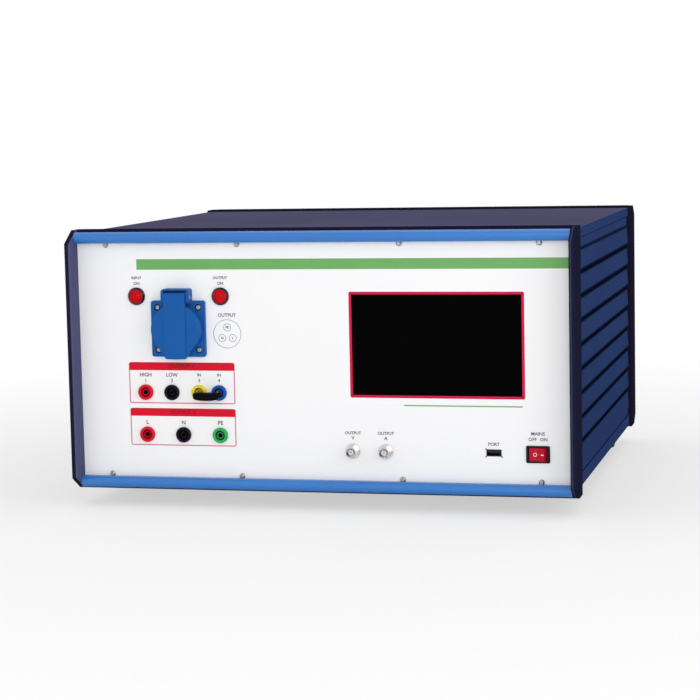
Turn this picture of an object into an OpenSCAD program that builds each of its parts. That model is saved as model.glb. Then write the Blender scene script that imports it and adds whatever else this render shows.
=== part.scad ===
// Ring wave generator: a bench-top surge test instrument in a 5U-high desktop case.
// Millimetres, +Z up, the front panel faces -Y. The origin is under the middle of the case, on the
// surface that the feet stand on. Most pieces are drawn in panel coordinates: X from the middle
// of the panel, Y from its front face towards the rear, Z from the lower edge of what shows of it.

/* [Case] */
// Width over the corner posts
case_w = 466.6; // [430:0.2:620]
// Height of the front frame
case_h = 239; // [225:1:340]
// Length from the front posts to the rear posts
case_l = 469; // [440:1:700]
// Clear height under the front frame
ground_gap = 15; // [8:1:40]
// Thickness of a corner post, seen from the front
post_t = 5.3; // [4:0.1:9]
// How far the front posts stand in front of the panel
post_front = 20.5; // [15:0.5:30]
// Height of the frame above and below the visible panel
rim_h = 12.5; // [11:0.5:20]
// How far the front frame reaches back over the body
frame_back = 20.2; // [16:0.2:30]
// Depth of the rear frame, from its front edge to the rear post's end
rear_frame_d = 38.5; // [34:0.5:60]
// How far the rear posts stand behind the rear panel
rear_post_back = 16.5; // [10:0.5:25]

/* [Body] */
// Step from a post's outer face in to the side wall
side_step = 2.9; // [1:0.1:5]
// Step from the front frame's top down to the cover
cover_step = 3; // [2:0.1:6]
// Step from the front frame's underside up to the bottom cover
base_step = 5.2; // [3:0.1:9]
// Step from the cover up to the rear frame's top
rear_step = 1.6; // [1:0.1:4]
// Sheet thickness of the covers
sheet_t = 1.5; // [1:0.1:2.5]
// Height of the top cover's side flange
top_flange_h = 8.6; // [6:0.1:14]
// Height of the bottom cover's side flange
base_flange_h = 11.3; // [8:0.1:16]
// Height of the strip of the corner rail that shows above the slats
strip_h = 10.4; // [8:0.1:14]
// Height from slat to slat of a side wall
slat_pitch = 21.7; // [16:0.1:30]
// Height of the groove under each slat
groove_h = 3.4; // [2:0.1:6]
// Depth of the groove
groove_d = 3; // [1.5:0.1:4]
// Thickness of the side wall
side_t = 4.5; // [4:0.1:7]

/* [Panel] */
// Thickness of the front panel
panel_t = 3; // [2:0.1:4]
// How far the panel reaches behind each trim
panel_lap = 1.7; // [1.2:0.1:3]
// Height of a panel screw's centre inside the panel's visible edge
screw_inset = 1.3; // [1:0.1:1.4]
// Height of a trim, seen from the front
trim_h = 10.4; // [8:0.1:11]
// How far a trim stands in front of the panel
trim_d = 10; // [7:0.1:14]

/* [Outlet] */
// Middle of the outlet across the panel
outlet_x = -131.5; // [-140:0.5:-125]
// Middle of the outlet above the panel's lower edge
outlet_z = 136.3; // [134:0.1:145]
// Side of the outlet's square flange
flange_w = 51.2; // [50:0.2:56]
// Distance between the flange's screws
flange_pitch = 38.8; // [38.6:0.1:40]
// Bore that takes the mains plug
recess_r = 19.75; // [19.5:0.05:20.5]
// Radius of the flap lid
lid_r = 23.4; // [22.8:0.1:23.6]
// Height of the lid's hinge pin above the outlet's middle
hinge_up = 29; // [28.8:0.1:31]

/* [Sockets] */
// Bore of the 4 mm contact tubes
tube_bore = 2; // [1.9:0.01:2.1]
// Outer radius of a socket's collar
collar_r = 7.1; // [6.5:0.1:8]
// Outer radius of the groove that takes a plug's sleeve
sleeve_bore = 4.45; // [4.2:0.05:4.8]
// Distance between the two sockets that the bridging plug joins
bridge_pitch = 19; // [16:0.5:24]

/* [Display] */
// Width of the touch window
window_w = 153.4; // [120:0.1:190]
// Height of the touch window
window_h = 90.4; // [70:0.5:110]

/* [Rear] */
// Side of the cooling fan's square frame
fan_w = 92; // [70:1:120]
// Radius of the earth terminal's stud
stud_r = 3; // [2.5:0.1:4]

/* [Hidden] */
$fn = 48;

// Gap left between pieces that are assembled but not pressed together
fit = 0.3;
// Running clearance of pins and shafts
run = 0.05;

inner_w = case_w - 2 * post_t;
view_h = case_h - 2 * rim_h;
panel_y = post_front - case_l / 2;
panel_z = ground_gap + rim_h;
floor_z = -panel_z;
body_x = case_w / 2 - side_step;
body_top = view_h + rim_h - cover_step;
body_bottom = base_step - rim_h;
rear_y = case_l - post_front - rear_post_back;
rear_frame_y = rear_y + rear_post_back - rear_frame_d;
panel_h = view_h + 2 * panel_lap;
mid_z = view_h / 2;
beam_web = 5;
beam_y = panel_t + beam_web;
top_flange_z = body_top - top_flange_h;
base_flange_z = body_bottom + base_flange_h;
strip_z = top_flange_z - fit - strip_h;
slat_count = floor((strip_z - base_flange_z - 2 * fit) / slat_pitch) - 1;
rail_w = 16.6;
rail_x = body_x - sheet_t - fit - rail_w;
chassis_z = base_flange_z + 6;
chassis_t = 2;
deck_z = chassis_z + chassis_t;

screw_xs = [-200, -75, 75, 200];
screw_zs = [screw_inset, view_h - screw_inset];
lamp_xs = [-171.6, -91.5];
lamp_z = 165.7;
lamp_r = 7;
lens_r = 6.1;
output_z = 77.5;
line_z = 38.5;
bridge_x = -104.5;
red_places = [[-165.3, output_z], [-164.8, line_z]];
black_places = [[-140.1, output_z], [-130, line_z]];
yellow_places = [[bridge_x - bridge_pitch / 2, output_z]];
blue_places = [[bridge_x + bridge_pitch / 2, output_z]];
green_places = [[-94.8, line_z]];
front_places = concat(red_places, black_places, yellow_places, blue_places, green_places);
window_x = 107;
window_z = 122.2;
bnc_xs = [29.5, 59.8];
bnc_z = 26.2;
usb_x = 157.6;
usb_z = 26.7;
switch_x = 197;
switch_z = 26;
inlet_x = 160;
inlet_z = 60;
rear_socket_xs = [60, 35, 10];
rear_socket_z = 60;
fan_x = -130;
fan_z = 120;
earth_x = 100;
earth_z = 40;
vent_x = 110;
vent_z = 150;

function arc(cx, cy, r, from, to, steps) = [
    for (i = [0:steps])
        [cx + r * cos(from + (to - from) * i / steps), cy + r * sin(from + (to - from) * i / steps)]
];
function rounded_points(w, h, r, steps = 5) = concat(
    arc(w / 2 - r, h / 2 - r, r, 0, 90, steps),
    arc(r - w / 2, h / 2 - r, r, 90, 180, steps),
    arc(r - w / 2, r - h / 2, r, 180, 270, steps),
    arc(w / 2 - r, r - h / 2, r, 270, 360, steps)
);

module at_panel() translate([0, panel_y, panel_z]) children();
module at_rear() at_panel() translate([0, rear_y, 0]) children();

// A box from its low corner to its high corner
module block(low, high) translate(low) cube(high - low);

// Extrusions of a YZ outline along X, an XZ outline along Y and an XY outline along Z
module along_x(x0, x1) translate([x0, 0, 0]) rotate([90, 0, 90]) linear_extrude(x1 - x0) children();
module along_y(y0, y1) translate([0, y1, 0]) rotate([90, 0, 0]) linear_extrude(y1 - y0) children();
module along_z(z0, z1) translate([0, 0, z0]) linear_extrude(z1 - z0) children();

// Round pieces about the Y axis: a rod, and a profile of [radius, y] points
module rod_y(r, y0, y1) translate([0, y0, 0]) rotate([-90, 0, 0]) cylinder(r = r, h = y1 - y0);
module spun_y(points) rotate([-90, 0, 0]) rotate_extrude() polygon(points);
module rod_x(r, x0, x1) translate([x0, 0, 0]) rotate([0, 90, 0]) cylinder(r = r, h = x1 - x0);
module rod_z(r, z0, z1) translate([0, 0, z0]) cylinder(r = r, h = z1 - z0);

module both_sides() for (side = [0, 1]) mirror([side, 0, 0]) children();
module at_places(places) for (place = places) translate([place[0], 0, place[1]]) children();

// A pan-head screw that points towards +Y with its head in front of y = 0
module pan_screw(r, head_r, head_h, length) {
    difference() {
        spun_y([
            [0, -head_h], [head_r * 0.6, -head_h], [head_r, -head_h * 0.45], [head_r, 0],
            [r, 0], [r, length - r * 0.5], [r * 0.5, length], [0, length]
        ]);
        for (turn = [0, 90])
            rotate([0, turn, 0])
                block(
                    [-head_r * 0.5, -head_h - 1, -head_r * 0.12],
                    [head_r * 0.5, -head_h * 0.5, head_r * 0.12]
                );
    }
}

// Front frame

// A post seen from the side: its ends slope back from the nose to the panel's plane
module front_post() {
    nose_r = post_t / 2 - 0.35;
    intersection() {
        along_x(inner_w / 2, case_w / 2)
            polygon([
                [-post_front, 0], [0, -rim_h], [frame_back, -rim_h],
                [frame_back, view_h + rim_h], [0, view_h + rim_h], [-post_front, view_h]
            ]);
        along_z(-rim_h - 1, view_h + rim_h + 1)
            translate([inner_w / 2 + post_t / 2, 0])
                polygon(concat(
                    [[post_t / 2, frame_back + 1], [-post_t / 2, frame_back + 1]],
                    arc(nose_r - post_t / 2, nose_r - post_front, nose_r, 180, 270, 6),
                    arc(post_t / 2 - nose_r, nose_r - post_front, nose_r, 270, 360, 6)
                ));
    }
    // Lug behind the panel that the side wall and the beams bear on
    block(
        [inner_w / 2 - 5, beam_y + 1, 20],
        [inner_w / 2, frame_back - 1, view_h - 20]
    );
}
module front_post_left() color([0.10, 0.12, 0.17]) at_panel() mirror([1, 0, 0]) front_post();
module front_post_right() color([0.10, 0.12, 0.17]) at_panel() front_post();

// The beam's section: a lip over the body, a wall behind the trim, a web behind the panel
module beam_section(lip_t) {
    web_drop = 8;
    difference() {
        polygon([
            [0, panel_lap + fit], [0, rim_h], [frame_back, rim_h],
            [frame_back, rim_h - lip_t], [beam_y, rim_h - lip_t], [beam_y, -web_drop],
            [panel_t, -web_drop], [panel_t, panel_lap + fit]
        ]);
        // Clip groove of the trim
        translate([-1, rim_h - trim_h / 2 - 2.2]) square([2.6, 3]);
    }
}
module front_beam(lip_t) {
    difference() {
        along_x(-inner_w / 2 + run, inner_w / 2 - run) beam_section(lip_t);
        for (x = screw_xs)
            translate([x, 0, -screw_inset]) rod_y(1.5 + run, panel_t - 1, beam_y + 1);
    }
}
module front_beam_top() color([0.10, 0.12, 0.17])
    at_panel() translate([0, 0, view_h]) front_beam(cover_step);
module front_beam_bottom() color([0.10, 0.12, 0.17])
    at_panel() mirror([0, 0, 1]) front_beam(base_step);

// Half-round trim, relieved at its back where it passes over the panel screws' heads
module trim() {
    nose_r = trim_h / 2;
    relief_d = 2.5;
    relief_h = 2.2;
    edge = fit;
    along_x(-inner_w / 2 + 0.2, inner_w / 2 - 0.2) {
        difference() {
            polygon(concat(
                [[0, edge], [0, edge + trim_h]],
                arc(nose_r - trim_d, edge + nose_r, nose_r, 90, 270, 12)
            ));
            translate([-relief_d, edge - 1]) square([relief_d + 1, relief_h + 1]);
            translate([-relief_d, edge + 4.6]) square([relief_d + 1, 2.4]);
        }
    }
}
module trim_top() color([0.29, 0.51, 0.76]) at_panel() translate([0, 0, view_h]) trim();
module trim_bottom() color([0.29, 0.51, 0.76]) at_panel() mirror([0, 0, 1]) trim();

module front_panel() color([0.95, 0.95, 0.96]) at_panel() {
    difference() {
        block(
            [-inner_w / 2 + fit, 0, mid_z - panel_h / 2],
            [inner_w / 2 - fit, panel_t, mid_z + panel_h / 2]
        );
        for (x = screw_xs, z = screw_zs) translate([x, 0, z]) rod_y(1.7, -1, panel_t + 1);
        for (x = lamp_xs) translate([x, 0, lamp_z]) rod_y(lamp_r + fit, -1, panel_t + 1);
        at_places(front_places) rod_y(socket_neck_r + fit, -1, panel_t + 1);
        translate([outlet_x, 0, outlet_z]) {
            rod_y(housing_r + fit, -1, panel_t + 1);
            at_flange_screws() rod_y(1.7, -1, panel_t + 1);
        }
        translate([window_x, 0, window_z])
            block(
                [-window_w / 2 - fit, -1, -window_h / 2 - fit],
                [window_w / 2 + fit, panel_t + 1, window_h / 2 + fit]
            );
        for (x = bnc_xs) translate([x, 0, bnc_z]) rod_y(bnc_shank_r + fit, -1, panel_t + 1);
        translate([usb_x, 0, usb_z])
            block(
                [-usb_w / 2 - fit, -1, -usb_h / 2 - fit],
                [usb_w / 2 + fit, panel_t + 1, usb_h / 2 + fit]
            );
        translate([switch_x, 0, switch_z])
            block(
                [-switch_body_w / 2 - fit, -1, -switch_body_h / 2 - fit],
                [switch_body_w / 2 + fit, panel_t + 1, switch_body_h / 2 + fit]
            );
    }
}
module front_panel_screws() color([0.70, 0.71, 0.73]) at_panel()
    for (x = screw_xs, z = screw_zs) translate([x, 0, z]) pan_screw(1.5, 2.6, 2, 7.5);

// Body

// Side wall: slats that lean over the groove below them, like boards of a clad wall
module side_section() {
    low_z = base_flange_z + fit;
    first_z = strip_z - fit - slat_count * slat_pitch;
    lean = 1;
    polygon(concat(
        [[body_x - side_t, low_z], [body_x, low_z]],
        [for (i = [0:slat_count - 1], p = [0:3])
            let (z = first_z + i * slat_pitch)
            p == 0 ? [body_x - lean, z] :
            p == 1 ? [body_x - groove_d, z] :
            p == 2 ? [body_x - groove_d, z + groove_h] : [body_x, z + groove_h]
        ],
        [[body_x - lean, strip_z - fit], [body_x - side_t, strip_z - fit]]
    ));
}
module side_panel() {
    first_z = strip_z - fit - slat_count * slat_pitch;
    end_y = rear_frame_y - fit;
    notch_l = 7;
    difference() {
        along_y(frame_back + fit, end_y) side_section();
        // Each groove widens into a notch at its rear end
        for (i = [0:slat_count - 1])
            block(
                [body_x - side_t + 1, end_y - notch_l, first_z + i * slat_pitch - 1.2],
                [body_x + 1, end_y + 1, first_z + i * slat_pitch + groove_h + 1.2]
            );
        block(
            [body_x - side_t + 1, end_y - 9, base_flange_z + 1.6],
            [body_x + 1, end_y + 1, base_flange_z + 7.6]
        );
    }
}
module side_panel_right() color([0.17, 0.23, 0.38]) at_panel() side_panel();
module side_panel_left() color([0.17, 0.23, 0.38]) at_panel() mirror([1, 0, 0]) side_panel();

// Corner rails: hollow extrusions with a screw channel and a lip behind the side wall
module rail_top_section() {
    difference() {
        polygon([
            [rail_x, strip_z], [rail_x + 8, strip_z],
            [rail_x + 8, strip_z - 6], [body_x - side_t - fit, strip_z - 6],
            [body_x - side_t - fit, strip_z], [body_x - 0.3, strip_z],
            [body_x - 0.3, strip_z + strip_h], [rail_x + rail_w, strip_z + strip_h],
            [rail_x + rail_w, body_top - sheet_t], [rail_x, body_top - sheet_t]
        ]);
        translate([rail_x + 2, strip_z + 10]) square([rail_w - 4, 5]);
        translate([rail_screw_x, rail_top_screw_z]) circle(2.05);
    }
}
module rail_base_section() {
    difference() {
        polygon([
            [rail_x, body_bottom + sheet_t], [rail_x + rail_w, body_bottom + sheet_t],
            [rail_x + rail_w, base_flange_z], [body_x - side_t - fit, base_flange_z],
            [body_x - side_t - fit, chassis_z + 6], [body_x - side_t - fit - 3, chassis_z + 6],
            [body_x - side_t - fit - 3, chassis_z], [rail_x, chassis_z]
        ]);
        translate([rail_x + 2, body_bottom + sheet_t + 2]) square([rail_w - 4, 4]);
        translate([rail_screw_x, rail_base_screw_z]) circle(2.05);
    }
}
rail_screw_x = rail_x + 6;
rail_top_screw_z = strip_z + 5;
rail_base_screw_z = chassis_z - 4.2;
module corner_rails() color([0.14, 0.17, 0.26]) at_panel() both_sides() difference() {
    along_y(frame_back + fit, rear_y - fit) {
        rail_top_section();
        rail_base_section();
    }
    // The outer strip stops short of the rear frame
    block(
        [rail_x + rail_w - 1.5, rear_frame_y - 11, strip_z - 1],
        [body_x + 1, rear_y + 1, strip_z + strip_h]
    );
    // Both rails pass between the rear posts
    block(
        [inner_w / 2 - fit, rear_frame_y - fit, body_bottom],
        [body_x + 1, rear_y + 1, body_top]
    );
}

module cover_plate(z0, z1) {
    tongue_x = inner_w / 2 - fit;
    block([-tongue_x, beam_y + fit, z0], [tongue_x, frame_back + 2, z1]);
    block([-body_x, frame_back + fit, z0], [body_x, rear_frame_y - fit, z1]);
    block([-tongue_x, rear_frame_y - 2, z0], [tongue_x, rear_y - 10, z1]);
}
module cover_flange(z0, z1)
    block([body_x - sheet_t, frame_back + fit, z0], [body_x, rear_frame_y - fit, z1]);
module top_cover() color([0.32, 0.35, 0.46]) at_panel() {
    cover_plate(body_top - sheet_t, body_top);
    both_sides() cover_flange(top_flange_z, body_top);
}
module bottom_cover() color([0.14, 0.17, 0.26]) at_panel() {
    slot_w = 3;
    slot_l = 60;
    slot_pitch = 8;
    slot_count = 14;
    difference() {
        union() {
            cover_plate(body_bottom, body_bottom + sheet_t);
            both_sides() cover_flange(body_bottom, base_flange_z);
        }
        // Air slots below the power supply
        for (i = [0:slot_count - 1])
            translate([60 + i * slot_pitch, 150, 0])
                block([0, 0, body_bottom - 1], [slot_w, slot_l, body_bottom + sheet_t + 1]);
        at_feet() rod_z(2.2, body_bottom - 1, body_bottom + sheet_t + 1);
    }
}

// Feet: tapered rubber feet with a recessed screw
foot_h = ground_gap + base_step;
foot_top_r = 20;
foot_bottom_r = 15;
foot_inset = 28;
foot_front_y = 100;
foot_rear_y = rear_frame_y - 24;
module at_feet() for (x = [foot_inset - body_x, body_x - foot_inset], y = [foot_front_y, foot_rear_y])
    translate([x, y, 0]) children();
module feet() color([0.05, 0.05, 0.06]) at_panel() at_feet() translate([0, 0, floor_z]) {
    rotate_extrude() polygon([
        [2.2, 8], [6.5, 8], [6.5, 0], [foot_bottom_r - 1, 0], [foot_bottom_r, 1],
        [foot_top_r, foot_h - 1.5], [foot_top_r, foot_h], [2.2, foot_h]
    ]);
}

// Rear frame
module rear_post() {
    end_y = rear_y + rear_post_back;
    slope_h = 11;
    low_z = body_bottom - rear_step;
    high_z = body_top + rear_step;
    nose_r = post_t / 2 - 0.35;
    intersection() {
        along_x(inner_w / 2, case_w / 2)
            polygon([
                [rear_frame_y, low_z], [rear_y + 1.5, low_z], [end_y, low_z + slope_h],
                [end_y, high_z - slope_h], [rear_y + 1.5, high_z], [rear_frame_y, high_z]
            ]);
        along_z(low_z - 1, high_z + 1)
            translate([inner_w / 2 + post_t / 2, 0])
                polygon(concat(
                    [[-post_t / 2, rear_frame_y - 1], [post_t / 2, rear_frame_y - 1]],
                    arc(post_t / 2 - nose_r, end_y - nose_r, nose_r, 0, 90, 6),
                    arc(nose_r - post_t / 2, end_y - nose_r, nose_r, 90, 180, 6)
                ));
    }
}
module rear_post_right() color([0.12, 0.14, 0.20]) at_panel() rear_post();
module rear_post_left() color([0.12, 0.14, 0.20]) at_panel() mirror([1, 0, 0]) rear_post();

rear_wall_h = 10.5;
module rear_beam_section() polygon([
    [rear_frame_y + fit, 0], [rear_frame_y + fit, rear_step], [rear_y + 5.8, rear_step],
    [rear_y + 5.8, rear_step - rear_wall_h], [rear_y + 2, rear_step - rear_wall_h],
    [rear_y + 2, -sheet_t], [rear_y - 8, -sheet_t], [rear_y - 8, 0]
]);
module rear_beams() color([0.12, 0.14, 0.20]) at_panel() {
    translate([0, 0, body_top]) along_x(run - inner_w / 2, inner_w / 2 - run) rear_beam_section();
    translate([0, 0, body_bottom]) mirror([0, 0, 1])
        along_x(run - inner_w / 2, inner_w / 2 - run) rear_beam_section();
}

rear_t = 2;
module vent_slots(rows, slot_w, slot_l, pitch)
    for (i = [0:rows - 1])
        block([-slot_l / 2, -1, i * pitch], [slot_l / 2, rear_t + 1, i * pitch + slot_w]);
module rear_panel() color([0.80, 0.81, 0.83]) at_rear() {
    difference() {
        block(
            [fit - inner_w / 2, 0, body_bottom + sheet_t + fit],
            [inner_w / 2 - fit, rear_t, body_top - sheet_t - fit]
        );
        at_rear_screws() rod_y(2.2, -1, rear_t + 1);
        translate([fan_x, 0, fan_z]) {
            rod_y(fan_w / 2 - 2, -1, rear_t + 1);
            at_fan_screws() rod_y(2.2, -1, rear_t + 1);
        }
        translate([inlet_x, 0, inlet_z]) {
            block(
                [-inlet_w / 2 - fit, -1, -inlet_h / 2 - fit],
                [inlet_w / 2 + fit, rear_t + 1, inlet_h / 2 + fit]
            );
            for (side = [-1, 1]) translate([side * inlet_pitch / 2, 0, 0]) rod_y(1.7, -1, rear_t + 1);
        }
        for (x = rear_socket_xs) translate([x, 0, rear_socket_z]) rod_y(socket_neck_r + fit, -1, rear_t + 1);
        translate([earth_x, 0, earth_z]) rod_y(stud_r + 0.2, -1, rear_t + 1);
        translate([vent_x, 0, vent_z]) vent_slots(7, 3, 90, 7);
    }
}
module at_rear_screws() for (side = [-1, 1], z = [rail_base_screw_z, rail_top_screw_z])
    translate([side * rail_screw_x, 0, z]) children();

// M4 screws of the rear panel and of the feet, M3 screws of the inlet
module case_screws() color([0.55, 0.56, 0.58]) {
    at_rear() at_rear_screws() translate([0, rear_t, 0]) mirror([0, 1, 0]) pan_screw(2, 3.9, 2.6, 14);
    at_panel() at_feet() translate([0, 0, floor_z + 8]) rotate([90, 0, 0]) pan_screw(2, 3.9, 2.6, 15.5);
    at_inlet() for (side = [-1, 1]) translate([side * inlet_pitch / 2, rear_t + 3, 0]) mirror([0, 1, 0])
        pan_screw(1.5, 2.7, 1.8, 9);
}

// Outlet
housing_r = 21.3;
flange_t = 3.5;
collar_t = 1.15;
collar_y = -8;
recess_floor = 9.5;
hinge_y = -8;
hinge_pin_r = 1.3;
ear_t = 2.4;
band_w = 20.4;
ear_x = band_w / 2 + 0.5 + ear_t;
hood_top = hinge_up + 7.8;
lid_face_y = -13;
band_y = -14;
screw_sink = 1.9;
contact_pitch = 19;
clip_w = 6;

module at_outlet() at_panel() translate([outlet_x, 0, outlet_z]) children();
module at_flange_screws() for (sx = [-1, 1], sz = [-1, 1])
    translate([sx * flange_pitch / 2, 0, sz * flange_pitch / 2]) children();

// The hinge's housing above the flange: a back plate, two ears and a hood over the lid's neck
module outlet_hinge_housing() {
    ear_d = 12;
    nose_r = 3.5;
    low_z = flange_w / 2 - 3;
    intersection() {
        union() {
            block([-ear_x, -2, low_z + 1], [ear_x, 0, hood_top]);
            both_sides() along_x(ear_x - ear_t, ear_x) polygon(concat(
                [[0, low_z], [0, hood_top]],
                arc(nose_r - ear_d, hood_top - nose_r, nose_r, 90, 180, 6),
                [[-ear_d, low_z + 2], [-8, low_z]]
            ));
            along_x(-ear_x, ear_x) polygon(concat(
                [[0, hood_top - 1.4], [0, hood_top]],
                arc(nose_r - ear_d, hood_top - nose_r, nose_r, 90, 140, 4),
                [[hinge_y, hood_top - 1.4]]
            ));
        }
        translate([0, 0, hood_top - 10]) along_y(-ear_d - 1, 1) polygon(rounded_points(2 * ear_x, 20, 2.2));
    }
}
module outlet_body() color([0.12, 0.37, 0.67]) at_outlet() {
    barrel_end = 32;
    difference() {
        union() {
            along_y(-flange_t, 0) polygon(rounded_points(flange_w, flange_w, 2.2));
            rod_y(recess_r + collar_t, collar_y, -flange_t + 1);
            rod_y(housing_r, -1, barrel_end);
            outlet_hinge_housing();
        }
        rod_y(recess_r, collar_y - 1, recess_floor);
        // Guide ribs' grooves at both sides and slots for the earth clips
        for (side = [-1, 1])
            block([-clip_w / 2 - fit, collar_y + 3, side > 0 ? recess_r - 2 : -recess_r - 0.9],
                  [clip_w / 2 + fit, recess_floor + 8, side > 0 ? recess_r + 0.9 : 2 - recess_r]);
        for (side = [-1, 1]) translate([side * contact_pitch / 2, 0, 0]) {
            rod_y(2.7, recess_floor - 1, recess_floor + 2);
            rod_y(3.3, recess_floor + 1.2, barrel_end + 1);
        }
        at_flange_screws() {
            rod_y(1.7, -flange_t - 1, 1);
            rod_y(3.1, -flange_t - 1, screw_sink - flange_t);
        }
        translate([0, hinge_y, hinge_up]) rod_x(hinge_pin_r + run, -ear_x - 1, ear_x + 1);
    }
}
// Half of the finger tab's outline: it leaves the disc near its edge and narrows to a rounded end
function tab_half(root_z, end_z, end_r) = concat(
    [[0, root_z], [17, root_z]],
    arc(10.8 - end_r, end_z + end_r, end_r, -10, -70, 4),
    [[0, end_z]]
);
module outlet_lid() color([0.13, 0.39, 0.69]) at_outlet() {
    rim_y = -5;
    face_t = 2;
    edge_r = 1.8;
    // The skirt's upper edge swings down towards the collar as the lid opens, so the gap is wide
    skirt_gap = 1;
    bore_r = recess_r + collar_t + skirt_gap;
    neck_r = 4.6;
    top_round = 4.2;
    tab_z = -27;
    tab_t = 3.5;
    pocket_x = spring_l / 2 + 0.5;
    difference() {
        union() {
            spun_y(concat(
                [[0, lid_face_y]],
                arc(lid_r - edge_r, lid_face_y + edge_r, edge_r, -90, 0, 4),
                [[lid_r, rim_y], [bore_r, rim_y], [bore_r, lid_face_y + face_t], [0, lid_face_y + face_t]]
            ));
            // Finger tab
            both_sides() along_y(lid_face_y, lid_face_y + tab_t)
                polygon(tab_half(-15.5, tab_z, 3.4));
            // Raised band from the hinge to the tab
            along_y(band_y, lid_face_y + 1) polygon([
                [1 - band_w / 2, tab_z + 0.8], [band_w / 2 - 1, tab_z + 0.8], [band_w / 2, tab_z + 2.2],
                [band_w / 2, hinge_up - 2], [-band_w / 2, hinge_up - 2], [-band_w / 2, tab_z + 2.2]
            ]);
            // Neck that wraps round the hinge pin
            along_x(-band_w / 2, band_w / 2) polygon(concat(
                [[band_y, lid_r - 4], [band_y, hinge_up + neck_r - top_round]],
                arc(band_y + top_round, hinge_up + neck_r - top_round, top_round, 180, 90, 5),
                arc(hinge_y, hinge_up, neck_r, 90, -90, 10),
                [[hinge_y - 1.4, hinge_up - neck_r], [hinge_y - 1.4, lid_r - 4]]
            ));
        }
        // Bore for the pin, and a pocket for the closing spring that is open towards the back plate
        translate([0, hinge_y, hinge_up]) {
            rod_x(hinge_pin_r + run, -ear_x, ear_x);
            rod_x(3, -pocket_x, pocket_x);
            block([-pocket_x, -3, -8], [pocket_x, 6, 0]);
            block([-pocket_x, -0.5, -1], [pocket_x, 6, neck_r + 1]);
        }
    }
}
module outlet_hinge_pin() color([0.72, 0.72, 0.74]) at_outlet()
    translate([0, hinge_y, hinge_up]) rod_x(hinge_pin_r, -ear_x - 0.3, ear_x + 0.3);

// Closing spring: turns of wire round the hinge pin, with one leg on the back plate
spring_l = 9;
module outlet_spring() color([0.75, 0.75, 0.77]) at_outlet() {
    wire_r = 0.45;
    turns = 6;
    for (i = [0:turns - 1])
        translate([(i - (turns - 1) / 2) * 1.3, hinge_y, hinge_up])
            rotate([0, 90, 0]) rotate_extrude() translate([2.05, 0]) circle(wire_r, $fn = 16);
    translate([0, hinge_y, hinge_up]) rotate([0, 90, 0])
        difference() {
            cylinder(r = 2.2, h = 6.5, center = true);
            cylinder(r = 1.75, h = 8, center = true);
        }
    translate([3.25, hinge_y + 2.05, hinge_up]) rotate([49, 0, 0]) rod_z(wire_r, -4.4, 0.4);
}
module outlet_contacts() color([0.78, 0.66, 0.38]) at_outlet() {
    for (side = [-1, 1]) translate([side * contact_pitch / 2, 0, 0]) difference() {
        rod_y(3.25, recess_floor + 1.4, 35);
        rod_y(2.45, recess_floor, 30);
    }
    // Earth clips: a strip in each slot with a rounded nose that bears on the plug
    for (side = [0, 1]) mirror([0, 0, side]) along_x(-clip_w / 2, clip_w / 2) polygon([
        [recess_floor + 7.7, recess_r + 0.6], [collar_y + 4, recess_r + 0.6],
        [collar_y + 3.3, recess_r - 0.2], [collar_y + 6, recess_r - 1.8],
        [collar_y + 9, recess_r - 0.2], [recess_floor + 7.7, recess_r - 0.2]
    ]);
}
module outlet_screws() color([0.72, 0.72, 0.74]) at_outlet() at_flange_screws()
    translate([0, screw_sink - flange_t, 0]) pan_screw(1.5, 2.7, 1.8, 8.5);

// Indicator lamps
module lamp_bezels() color([0.22, 0.20, 0.22]) at_panel() for (x = lamp_xs) translate([x, 0, lamp_z]) {
    spun_y([
        [lens_r + run, -2.6], [lens_r + 1, -2.6], [8.1, -1.4], [8.1, 0], [lamp_r, 0], [lamp_r, 22],
        [3, 22], [3, 19], [lens_r + run, 19]
    ]);
    // Nut behind the panel
    translate([0, panel_t, 0]) rotate([-90, 0, 0]) difference() {
        cylinder(r = lamp_r + 2.2, h = 3, $fn = 6);
        translate([0, 0, -1]) cylinder(r = lamp_r - 0.2, h = 5);
    }
}
module lamp_lenses() color([0.80, 0.08, 0.12]) at_panel() for (x = lamp_xs) translate([x, 0, lamp_z]) {
    dome_r = 8.6;
    rim_y = -2.7;
    dome_y = rim_y + sqrt(dome_r * dome_r - lens_r * lens_r);
    steps = 8;
    spun_y(concat(
        [for (i = [0:steps])
            let (a = asin(lens_r / dome_r) * i / steps) [dome_r * sin(a), dome_y - dome_r * cos(a)]
        ],
        [[lens_r, 10], [0, 10]]
    ));
}

// Safety sockets: a collar, a neck through the panel, and a groove for the plug's sleeve round a
// core that covers the contact tube
socket_neck_r = sleeve_bore + 1.5;
socket_depth = 19;
tube_r = tube_bore + 0.45;
core_r = tube_r + 0.65;
tube_front = -0.8;
module socket_housing() {
    core_front = -2.3;
    // The core's mouth is a funnel that ends a little wider than the tube's bore
    mouth_r = tube_bore + 0.6;
    throat_r = tube_bore + 0.3;
    spun_y([
        [mouth_r, core_front], [core_r - 0.3, core_front], [core_r, core_front + 0.3],
        [core_r, socket_depth], [sleeve_bore, socket_depth],
        [sleeve_bore, -2.6], [sleeve_bore + 0.4, -3], [collar_r - 0.8, -3], [collar_r, -2.2], [collar_r, 0],
        [socket_neck_r, 0], [socket_neck_r, 22], [tube_r + run, 22], [tube_r + run, tube_front - run],
        [throat_r, tube_front - run]
    ]);
    // Hexagon nut behind the panel
    translate([0, panel_t, 0]) rotate([-90, 0, 0]) difference() {
        cylinder(r = 8.6, h = 3.5, $fn = 6);
        translate([0, 0, -1]) cylinder(r = socket_neck_r - 0.4, h = 6);
    }
}
module rear_socket() rotate([0, 0, 180]) translate([0, -rear_t, 0]) socket_housing();
module red_sockets() color([0.85, 0.10, 0.18]) {
    at_panel() at_places(red_places) socket_housing();
    at_rear() translate([rear_socket_xs[0], 0, rear_socket_z]) rear_socket();
}
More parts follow.
